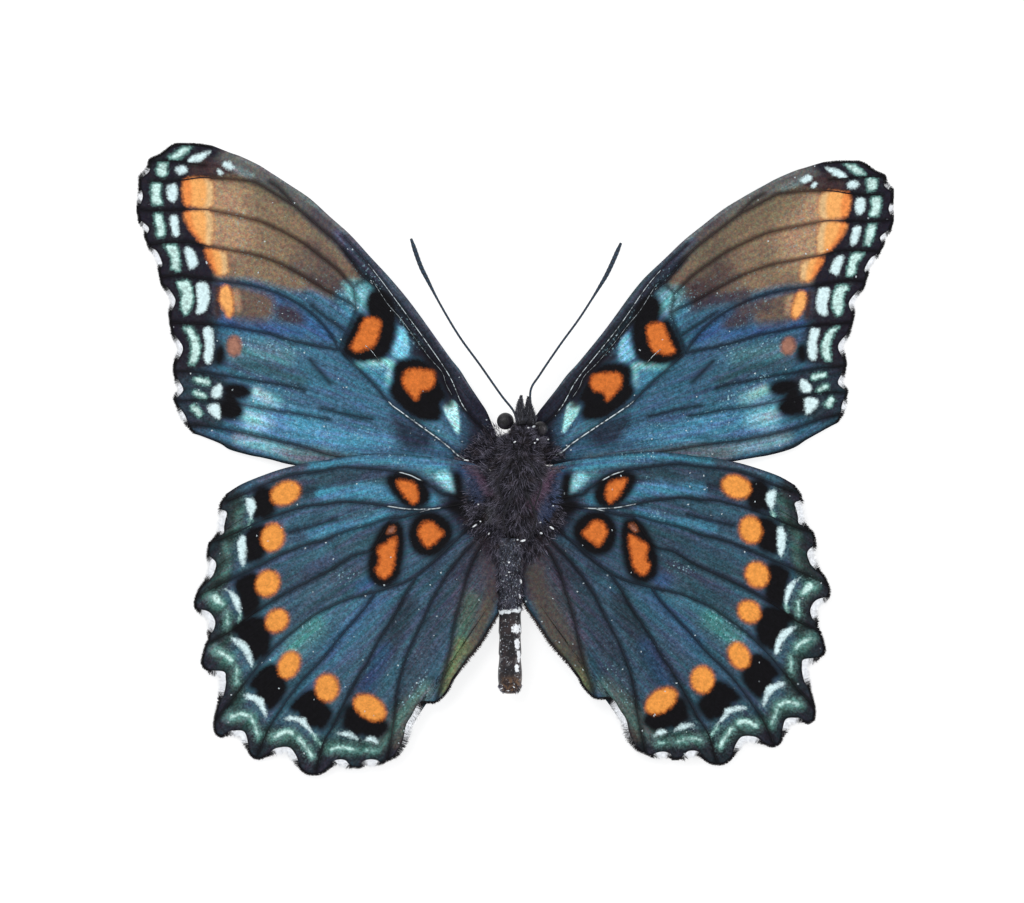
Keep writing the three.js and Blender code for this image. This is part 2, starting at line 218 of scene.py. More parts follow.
# Scale grain: tiny cells of one scale each with its own value, a soft ripple over a few scales and a
# wide mottle, all as values from 0 to 1.
grainGroup, gIn, gOut = newGroup(
    "scaleGrain",
    [("Point", "NodeSocketVector", None), ("Scale Size", "NodeSocketFloat", 0.0001)],
    [("Cell", "NodeSocketFloat"), ("Spark", "NodeSocketFloat"), ("Ripple", "NodeSocketFloat"),
     ("Mottle", "NodeSocketFloat")])
perScale = calc(grainGroup, "DIVIDE", 1.0, gIn.outputs["Scale Size"])
cells = addNode(grainGroup, "ShaderNodeTexVoronoi", feature="F1")
feed(grainGroup, gIn.outputs["Point"], cells.inputs["Vector"])
feed(grainGroup, perScale, cells.inputs["Scale"])
cellParts = addNode(grainGroup, "ShaderNodeSeparateColor")
feed(grainGroup, cells.outputs["Color"], cellParts.inputs[0])
feed(grainGroup, cellParts.outputs[0], gOut.inputs["Cell"])
feed(grainGroup, cellParts.outputs[1], gOut.inputs["Spark"])
feed(grainGroup, noise(grainGroup, gIn.outputs["Point"], calc(grainGroup, "MULTIPLY", perScale, 0.33), 3),
     gOut.inputs["Ripple"])
feed(grainGroup, noise(grainGroup, gIn.outputs["Point"], calc(grainGroup, "MULTIPLY", perScale, 0.07), 3),
     gOut.inputs["Mottle"])

# Marking edge: 1 where the signed depth inside a marking, moved by a ragged noise, is above the soft
# edge, 0 below it, eased between.
edgeGroup, eIn, eOut = newGroup(
    "markingEdge",
    [("Depth", "NodeSocketFloat", 0.0), ("Noise", "NodeSocketFloat", 0.5),
     ("Ragged", "NodeSocketFloat", 2.0), ("Soft", "NodeSocketFloat", 1.0)],
    [("Mask", "NodeSocketFloat")])
moved = calc(edgeGroup, "MULTIPLY", calc(edgeGroup, "SUBTRACT", eIn.outputs["Noise"], 0.5),
             eIn.outputs["Ragged"])
feed(edgeGroup, ranged(edgeGroup, calc(edgeGroup, "ADD", eIn.outputs["Depth"], moved),
                       calc(edgeGroup, "MULTIPLY", eIn.outputs["Soft"], -1.0), eIn.outputs["Soft"]),
     eOut.inputs["Mask"])


# Places a group in a tree. An underscore stands for the blank in an input's name.
def useGroup(tree, group, **values):
    made = addNode(tree, "ShaderNodeGroup", node_tree=group)
    for name, value in values.items():
        feed(tree, value, made.inputs[name.replace("_", " ")])
    return made


# A value or colour that the piece's mesh carries.
def attribute(tree, name, output="Fac"):
    return addNode(tree, "ShaderNodeAttribute", attribute_name=name).outputs[output]


# A principled material with its constant sockets set.
def newMaterial(name, **settings):
    material = bpy.data.materials.new(name)
    material.use_nodes = True
    tree = material.node_tree
    shader = tree.nodes["Principled BSDF"]
    for label, value in settings.items():
        shader.inputs[label.replace("_", " ")].default_value = value
    return material, tree, shader


# The place on the piece, in metres.
def objectPoint(tree):
    return addNode(tree, "ShaderNodeTexCoord").outputs["Object"]


# Bump from a height between 0 and 1; the distance is its full depth.
def bump(tree, height, distance, strength, shader):
    made = addNode(tree, "ShaderNodeBump")
    made.inputs["Distance"].default_value = distance
    made.inputs["Strength"].default_value = strength
    feed(tree, height, made.inputs["Height"])
    feed(tree, made.outputs[0], shader.inputs["Normal"])


# The wing's finish. Its colours and markings come from attributes that the wing's own code paints. Each
# marking's edge has how far noise moves it and how soft it is, in plan units.
wingLook = {
    "scaleSize": 0.13 * mm, "cellContrast": 0.66, "warmContrast": 0.4, "rippleContrast": 0.66,
    "streakContrast": 0.36, "white": paint(218, 243, 246), "mint": paint(204, 238, 232),
    "mintEdge": paint(112, 162, 154), "topsideMark": (0.16, 0.34, 0.42),
    "edges": {"ink": (6.0, 4.2), "orange": (4.4, 3.0), "mint": (4.6, 2.5), "white": (3.6, 2.1),
              "topside": (5.0, 1.3)},
    "bumpDepth": 0.03 * mm, "bumpStrength": 0.6,
    "ink": paint(11, 10, 14), "halo": paint(84, 116, 112), "haloShare": 0.6,
    "spark": paint(168, 214, 226), "speck": paint(206, 218, 224), "spotEdge": (0.74, 0.5, 0.4),
    "veinShade": 0.34, "rimShade": 0.3, "topside": paint(24, 24, 32), "topsideSheen": paint(44, 84, 120),
}


# The ground colour times the tones of cells, ripples and streaks, darker beside veins and rim; then ink,
# orange, mint and white laid over it by their masks. The side that lies down is plain.
def wingMaterial(name, look):
    material, tree, shader = newMaterial(name, Specular_IOR_Level=0.1)
    grain = useGroup(tree, grainGroup, Point=objectPoint(tree), Scale_Size=look["scaleSize"])
    cell, spark, ripple, mottle = grain.outputs
    flow = attribute(tree, "flow", "Vector")

    def streaks(stretch, detail):  # noise drawn out along the wing's flow
        made = addNode(tree, "ShaderNodeVectorMath", operation="MULTIPLY")
        feed(tree, flow, made.inputs[0])
        feed(tree, stretch, made.inputs[1])
        return noise(tree, made.outputs[0], 1.0, detail, 0.6)

    wideStreak = streaks((0.014, 0.11, 1), 3)
    streak = streaks((0.035, 0.3, 1), 3)
    fineStreak = streaks((0.1, 0.85, 1), 2)
    hue = streaks((0.018, 0.1, 1), 2)
    ragged = calc(tree, "ADD", times(tree, ripple, 0.7), times(tree, cell, 0.3))

    def mask(label, edge=None):  # where a marking lies
        amount, soft = look["edges"][edge or label]
        return useGroup(tree, edgeGroup, Depth=attribute(tree, label), Noise=ragged,
                        Ragged=amount, Soft=soft).outputs[0]

    def around(value, low, high, contrast):  # a value as a tone about 1
        return ranged(tree, value, low, high, 1 - contrast / 2, 1 + contrast / 2, False)

    def tinted(colour, tone):  # a colour times a tone
        return mixed(tree, 1.0, colour, tone, "MULTIPLY")

    warm = attribute(tree, "warm")
    cool = calc(tree, "SUBTRACT", 1.0, warm, True)
    contrast = ranged(tree, warm, 0, 1, look["cellContrast"], look["warmContrast"], False)
    cellTone = calc(tree, "ADD", 1.0, times(tree, calc(tree, "SUBTRACT", cell, 0.5), contrast))
    tone = times(tree, cellTone, around(ripple, 0.25, 0.75, look["rippleContrast"]))
    lines = times(tree, around(wideStreak, 0.32, 0.68, look["streakContrast"] * 1.5),
                  around(streak, 0.3, 0.7, look["streakContrast"]))
    lines = times(tree, lines, around(fineStreak, 0.3, 0.7, look["streakContrast"] * 0.4))
    lines = times(tree, calc(tree, "SUBTRACT", lines, 1.0), ranged(tree, warm, 0, 1, 1.0, 0.3, False))
    streaked = times(tree, tone, calc(tree, "ADD", lines, 1.0))
    ground = attribute(tree, "ground", "Color")
    colour = mixed(tree, times(tree, ranged(tree, hue, 0.46, 0.64), cool),
                   ground, tinted(ground, (0.8, 1.1, 1.0)))
    colour = mixed(tree, times(tree, ranged(tree, hue, 0.5, 0.34), cool),
                   colour, tinted(colour, (1.16, 0.9, 1.04)))
    colour = mixed(tree, ranged(tree, mottle, 0.4, 0.7), colour, tinted(colour, (0.88, 0.91, 0.94)))
    colour = mixed(tree, times(tree, ranged(tree, ripple, 0.42, 0.6), warm), colour,
                   tinted(colour, (0.92, 1.04, 0.86)))
    colour = mixed(tree, ranged(tree, spark, 0.2, 0.8), tinted(colour, (1.14, 0.96, 0.94)),
                   tinted(colour, (0.88, 1.04, 1.08)))
    veinDepth = ranged(tree, attribute(tree, "vein"), 0.3, 5.4, look["veinShade"], 1.0)
    rimDepth = ranged(tree, attribute(tree, "rim"), 0.6, 4.6, look["rimShade"], 1.0)
    shade = times(tree, veinDepth, rimDepth)
    colour = tinted(colour, times(tree, streaked, shade))
    sparkle = times(tree, ranged(tree, spark, 0.86, 0.97), attribute(tree, "glint"))
    sparkle = times(tree, sparkle, ranged(tree, streak, 0.4, 0.6))
    colour = mixed(tree, sparkle, colour, look["spark"])
    halo = times(tree, attribute(tree, "halo"), ranged(tree, ragged, 0.42, 0.62, 0, look["haloShare"]))
    colour = mixed(tree, halo, colour, tinted(look["halo"], tone))
    colour = mixed(tree, mask("ink"), colour, tinted(look["ink"], tone))
    spotTone = times(tree, around(cell, 0, 1, 0.2), around(ripple, 0.3, 0.7, 0.3))
    spotColour = tinted(attribute(tree, "spot", "Color"), spotTone)
    spotCore = calc(tree, "ADD", attribute(tree, "orange"), times(tree, ripple, 3.0))
    spotColour = mixed(tree, ranged(tree, spotCore, 0, 5), tinted(spotColour, look["spotEdge"]), spotColour)
    colour = mixed(tree, mask("orange"), colour, spotColour)
    rowTone = ranged(tree, streak, 0.36, 0.52, 0.84, 1.03)
    mintTone = times(tree, around(cell, 0, 1, 0.4), ranged(tree, ripple, 0.3, 0.62, 0.66, 1.08))
    mintCore = calc(tree, "ADD", attribute(tree, "mint"), times(tree, ripple, 3.0))
    mintColour = tinted(mixed(tree, ranged(tree, mintCore, 1.2, 4.6), look["mintEdge"], look["mint"]),
                        times(tree, mintTone, rowTone))
    colour = mixed(tree, mask("mint"), colour, mintColour)
    whiteTone = times(tree, around(cell, 0, 1, 0.2), ranged(tree, ripple, 0.3, 0.55, 0.86, 1.04))
    colour = mixed(tree, mask("white"), colour, tinted(look["white"], whiteTone))
    colour = mixed(tree, ranged(tree, spark, 0.9984, 0.9995, 0, 0.8), colour, look["speck"])

    upper = mixed(tree, ranged(tree, mottle, 0.3, 0.75), look["topside"], look["topsideSheen"])
    upper = tinted(upper, streaked)
    upper = mixed(tree, mask("mint", "topside"), upper, look["topsideMark"])
    colour = mixed(tree, attribute(tree, "side"), upper, colour)
    feed(tree, colour, shader.inputs["Base Color"])
    feed(tree, ranged(tree, cell, 0, 1, 0.5, 0.74, False), shader.inputs["Roughness"])
    bump(tree, calc(tree, "ADD", cell, times(tree, streak, 3.0)), look["bumpDepth"],
         look["bumpStrength"], shader)
    return material


wingSkin = wingMaterial("scaledWing", wingLook)


# Hair, fringe and down: a tint on each strand, darker or paler by a fine grain.
def strandMaterial(name, roughness=0.7, sheen=0.06):
    material, tree, shader = newMaterial(name, Roughness=roughness, Specular_IOR_Level=0.2,
                                         Sheen_Weight=sheen, Sheen_Roughness=0.45)
    grain = noise(tree, objectPoint(tree), 4200, 2)
    tone = ranged(tree, grain, 0.3, 0.7, 0.86, 1.1, False)
    feed(tree, mixed(tree, 1.0, attribute(tree, "tint", "Color"), tone, "MULTIPLY"),
         shader.inputs["Base Color"])
    feed(tree, ranged(tree, grain, 0.3, 0.7, roughness - 0.12, roughness + 0.1, False),
         shader.inputs["Roughness"])
    return material


downMaterial = strandMaterial("bodyDown")
fringeMaterial = strandMaterial("wingFringe", 0.75, 0.02)


# Vein: a dark stem with fine cross wrinkles; shine paints the pale glints on it.
def veinMaterial(name):
    material, tree, shader = newMaterial(name, Roughness=0.45, Specular_IOR_Level=0.12)
    point = objectPoint(tree)
    grain = noise(tree, point, 9000, 2)
    body = mixed(tree, 1.0, attribute(tree, "tint", "Color"), ranged(tree, grain, 0.35, 0.7, 0.7, 1.25),
                 "MULTIPLY")
    broken = ranged(tree, noise(tree, point, 2600, 2), 0.4, 0.56, 0.15, 1.0)
    glint = calc(tree, "MULTIPLY", attribute(tree, "shine"), broken, True)
    feed(tree, mixed(tree, glint, body, paint(226, 238, 244)), shader.inputs["Base Color"])
    feed(tree, ranged(tree, grain, 0, 1, 0.35, 0.6, False), shader.inputs["Roughness"])
    bump(tree, grain, 0.01 * mm, 0.5, shader)
    return material


stemMaterial = veinMaterial("wingVein")


print("mesh parts")


# A mesh from vertices and lists of faces (each an array with as many columns as corners).
def makePiece(name, vertices, faceSets, material, values=None, colours=None, vectors=None,
              nodes=(), smooth=True):
    mesh = bpy.data.meshes.new(name)
    corners = np.concatenate([faces.ravel() for faces in faceSets]).astype(np.int32)
    sizes = np.concatenate([np.full(len(faces), faces.shape[1]) for faces in faceSets])
    starts = np.concatenate([[0], np.cumsum(sizes)[:-1]]).astype(np.int32)
    mesh.vertices.add(len(vertices))
    mesh.vertices.foreach_set("co", np.asarray(vertices, np.float32).ravel())
    mesh.loops.add(len(corners))
    mesh.loops.foreach_set("vertex_index", corners)
    mesh.polygons.add(len(sizes))
    mesh.polygons.foreach_set("loop_start", starts)
    mesh.update(calc_edges=True)
    mesh.polygons.foreach_set("use_smooth", np.full(len(sizes), smooth))
    for label, data in (values or {}).items():
        layer = mesh.attributes.new(label, "FLOAT", "POINT")
        layer.data.foreach_set("value", np.asarray(data, np.float32).ravel())
    for label, data in (colours or {}).items():
        layer = mesh.attributes.new(label, "FLOAT_COLOR", "POINT")
        rgba = np.concatenate([data, np.ones((len(data), 1))], 1)
        layer.data.foreach_set("color", rgba.astype(np.float32).ravel())
    for label, data in (vectors or {}).items():
        layer = mesh.attributes.new(label, "FLOAT_VECTOR", "POINT")
        layer.data.foreach_set("vector", np.asarray(data, np.float32).ravel())
    mesh.materials.append(material)
    piece = bpy.data.objects.new(name, mesh)
    scene.collection.objects.link(piece)
    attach(piece, "root")
    if nodes:
        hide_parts(*nodes)
    return piece


# A curve through the points, evenly spaced. Each span is the cubic that leaves and reaches its ends
# along the line between their neighbours.
def curveThrough(points, step, closed=False, count=None):
    p = np.asarray(points, float)
    if closed:
        ring = np.vstack([p[-1:], p, p[:2]])
    else:
        ring = np.vstack([2 * p[0] - p[1], p, 2 * p[-1] - p[-2]])
    a, b, c, d = ring[:-3, None], ring[1:-2, None], ring[2:-1, None], ring[3:, None]
    t = np.linspace(0, 1, 9)[None, :-1, None]
    spans = 0.5 * (2 * b + (c - a) * t + (2 * a - 5 * b + 4 * c - d) * t ** 2
                   + (3 * b - a - 3 * c + d) * t ** 3)
    line = np.vstack([spans.reshape(-1, p.shape[1]), p[:1] if closed else p[-1:]])
    run = np.concatenate([[0], np.cumsum(np.linalg.norm(np.diff(line, axis=0), axis=1))])
    count = count or max(2, int(run[-1] / step) + 1)
    at = np.linspace(0, run[-1], count + 1)
    return np.stack([np.interp(at, run, line[:, k]) for k in range(p.shape[1])], 1)


# Distance from each plan point to the nearest place on a line, at most reach.
def lineDistance(xy, line, reach=14.0):
    low, high = line.min(0) - reach, line.max(0) + reach
    near = np.all((xy > low) & (xy < high), axis=1)
    gap = np.full(len(xy), reach)
    if near.any():
        start, along = line[:-1], np.diff(line, axis=0)
        away = xy[near][:, None, :] - start
        t = np.clip((away * along).sum(2) / np.maximum((along ** 2).sum(1), 1e-9), 0, 1)
        nearest = away - t[..., None] * along
        gap[near] = np.minimum(np.hypot(nearest[..., 0], nearest[..., 1]).min(1), reach)
    return gap


# Depth inside a closed outline: the distance to it, positive inside by the crossing rule.
def blotDepth(xy, ring, reach=14.0):
    closed = np.vstack([ring, ring[:1]])
    depth = -lineDistance(xy, closed, reach)
    near = np.flatnonzero(np.all((xy > ring.min(0)) & (xy < ring.max(0)), axis=1))
    px, py = xy[near].T
    (x0, y0), (x1, y1) = closed[:-1].T[..., None], closed[1:].T[..., None]
    spans = (y0 > py) != (y1 > py)
    rise = np.where(y1 == y0, 1e-9, y1 - y0)
    inside = (spans & (px < (x1 - x0) * (py - y0) / rise + x0)).sum(0) % 2 == 1
    depth[near[inside]] *= -1
    return depth


# A closed marking from its corner points, softly rounded.
def blot(xy, points, reach=14.0):
    return blotDepth(xy, curveThrough(points, 1.5, closed=True)[:-1], reach)


# An oval marking: centre, half length, half width and turn in degrees, clockwise in the plan.
def oval(cx, cy, a, b, turn):
    angle = np.linspace(0, 2 * np.pi, 13)[:-1]
    t = math.radians(turn)
    x, y = a * np.cos(angle), b * np.sin(angle)
    return np.stack([cx + x * math.cos(t) - y * math.sin(t), cy + x * math.sin(t) + y * math.cos(t)], 1)


# A streak marking: the given half width round a line.
def streak(xy, points, wide, reach=14.0):
    return wide - lineDistance(xy, curveThrough(points, 2.5), reach + wide)


# Faces between rings laid one after another, and a fan at each end round one of the two last points.
def ringFaces(count, sides):
    i, k = np.meshgrid(np.arange(count - 1), np.arange(sides), indexing="ij")
    a, b = (i * sides + k).ravel(), (i * sides + (k + 1) % sides).ravel()
    k = np.arange(sides)
    n = (k + 1) % sides
    far = (count - 1) * sides
    fans = np.vstack([np.stack([np.full(sides, count * sides), n, k], 1),
                      np.stack([np.full(sides, count * sides + 1), far + k, far + n], 1)])
    return np.stack([a, b, b + sides, a + sides], 1), fans


# Elliptical rings along a path that runs mostly level, closed by a fan at each end. Ring k is the
# path point plus wide*cos across it and high*sin upright.
def tubeMesh(path, wide, high, sides):
    ahead = np.gradient(path, axis=0)
    ahead /= np.linalg.norm(ahead, axis=1, keepdims=True)
    across = np.cross(ahead, (0, 0, 1.0))
    across /= np.maximum(np.linalg.norm(across, axis=1, keepdims=True), 1e-9)
    upright = np.cross(across, ahead)
    angle = np.linspace(0, 2 * np.pi, sides + 1)[:-1]
    wide = np.broadcast_to(wide, len(path))[:, None, None]
    high = np.broadcast_to(high, len(path))[:, None, None]
    rings = (path[:, None] + wide * np.cos(angle)[None, :, None] * across[:, None]
             + high * np.sin(angle)[None, :, None] * upright[:, None])
    return (np.vstack([rings.reshape(-1, 3), path[:1], path[-1:]]), *ringFaces(len(path), sides))


# Several tubes as one set of arrays.
def joinTubes(tubes):
    vertices, quads, fans, start = [], [], [], 0
    for v, q, f in tubes:
        vertices.append(v)
        quads.append(q + start)
        fans.append(f + start)
        start += len(v)
    return np.vstack(vertices), np.vstack(quads), np.vstack(fans)


# Strands: three-sided spikes. Each runs from its root along its direction, bending towards its bend
# by the square of the way along, and narrows to a point.
def strandMesh(roots, directions, bends, lengths, widths, rings=2, flatUp=False):
    n = len(roots)
    unitDirection = directions / np.linalg.norm(directions, axis=1, keepdims=True)
    helper = np.where(np.abs(unitDirection[:, 2:]) > 0.9, (1.0, 0, 0), (0, 0, 1.0))
    side = np.cross(unitDirection, helper)
    side /= np.linalg.norm(side, axis=1, keepdims=True)
    other = np.cross(side, unitDirection)
    t = np.linspace(0, 1, rings + 1)
    run = lengths[:, None, None]
    path = (roots[:, None] + unitDirection[:, None] * t[None, :, None] * run
            + bends[:, None] * (t ** 2)[None, :, None] * run)
    angle = np.array([0.5, 2.5, 4.5]) * np.pi / 3 + (np.pi if flatUp else 0)
    radius = (widths[:, None] / 2 * (1 - 0.45 * t[None, :-1]))[..., None, None]
    ring = (path[:, :-1, None] + radius * (np.cos(angle)[:, None] * side[:, None, None]
                                           + np.sin(angle)[:, None] * other[:, None, None]))
    vertices = np.concatenate([ring.reshape(n, -1, 3), path[:, -1:]], 1)
    per = vertices.shape[1]
    base = (np.arange(n) * per)[:, None, None]
    quads, fans = [], [[2, 1, 0]]
    for r in range(rings - 1):
        for k in range(3):
            a, b = r * 3 + k, r * 3 + (k + 1) % 3
            quads.append([a, b, b + 3, a + 3])
    for k in range(3):
        fans.append([(rings - 1) * 3 + k, (rings - 1) * 3 + (k + 1) % 3, rings * 3])
    share = np.concatenate([np.repeat(t[:-1], 3), [1.0]])
    return (vertices.reshape(-1, 3), (np.array(quads)[None] + base).reshape(-1, 4),
            (np.array(fans)[None] + base).reshape(-1, 3), np.tile(share, n), np.repeat(np.arange(n), per))


print("wings")
palette = {
    "steel": (68, 106, 132), "slate": (66, 92, 112), "deepSlate": (58, 80, 95), "cobalt": (58, 94, 140),
    "tealGrey": (90, 132, 143), "sky": (86, 142, 176), "paleSky": (148, 202, 224), "cyan": (126, 190, 202),
    "iceBlue": (135, 206, 234), "seaBlue": (76, 134, 162), "brown": (136, 112, 94), "tan": (176, 139, 114),
    "umber": (84, 72, 76), "dullBrown": (110, 90, 82), "greyBrown": (100, 96, 98), "oliveBrown": (116, 100, 84),
    "indigo": (84, 90, 110), "dusk": (40, 40, 54), "smoke": (44, 52, 70), "mist": (134, 162, 174),
    "stone": (112, 130, 140), "charcoal": (42, 46, 54), "glow": (160, 220, 232), "moss": (112, 118, 84),
    "ash": (80, 81, 94), "greenBlue": (84, 142, 140), "dim": (43, 54, 68), "bluePatch": (80, 122, 144),
    "soot": (34, 29, 42), "plum": (66, 58, 70), "inkBlue": (36, 44, 58), "darkGreen": (50, 68, 64),
    "maroon": (66, 48, 52), "night": (46, 46, 59), "paleEdge": (132, 138, 142), "dimEdge": (88, 94, 104),
    "seafoam": (112, 156, 148), "slateDark": (42, 52, 62), "umberGrey": (98, 88, 80),
    "glowMint": (170, 214, 212), "fern": (82, 99, 90), "mauve": (80, 70, 80), "plumBrown": (80, 71, 70),
    "deepNight": (34, 32, 44), "duskBlue": (60, 71, 86), "iceStreak": (192, 252, 252),
    "icePatch": (84, 148, 172), "mintGlow": (166, 228, 226), "sage": (100, 120, 116),
}
warmColours = ("brown", "tan", "umber", "dullBrown", "greyBrown", "oliveBrown", "plum", "soot", "maroon",
               "umberGrey", "mauve", "plumBrown")
spotPalette = {"orange": (238, 155, 72), "barPale": (224, 184, 132), "barOrange": (245, 173, 100),
               "barDeep": (238, 144, 76), "deepOrange": (215, 116, 50), "dullRose": (164, 116, 98)}
spotGlow = {"share": 0.4, "rust": (0.5, 0.38, 0.4)}
veinTone = {"share": (0.3, 0.26, 0.27), "ink": (12, 11, 15)}

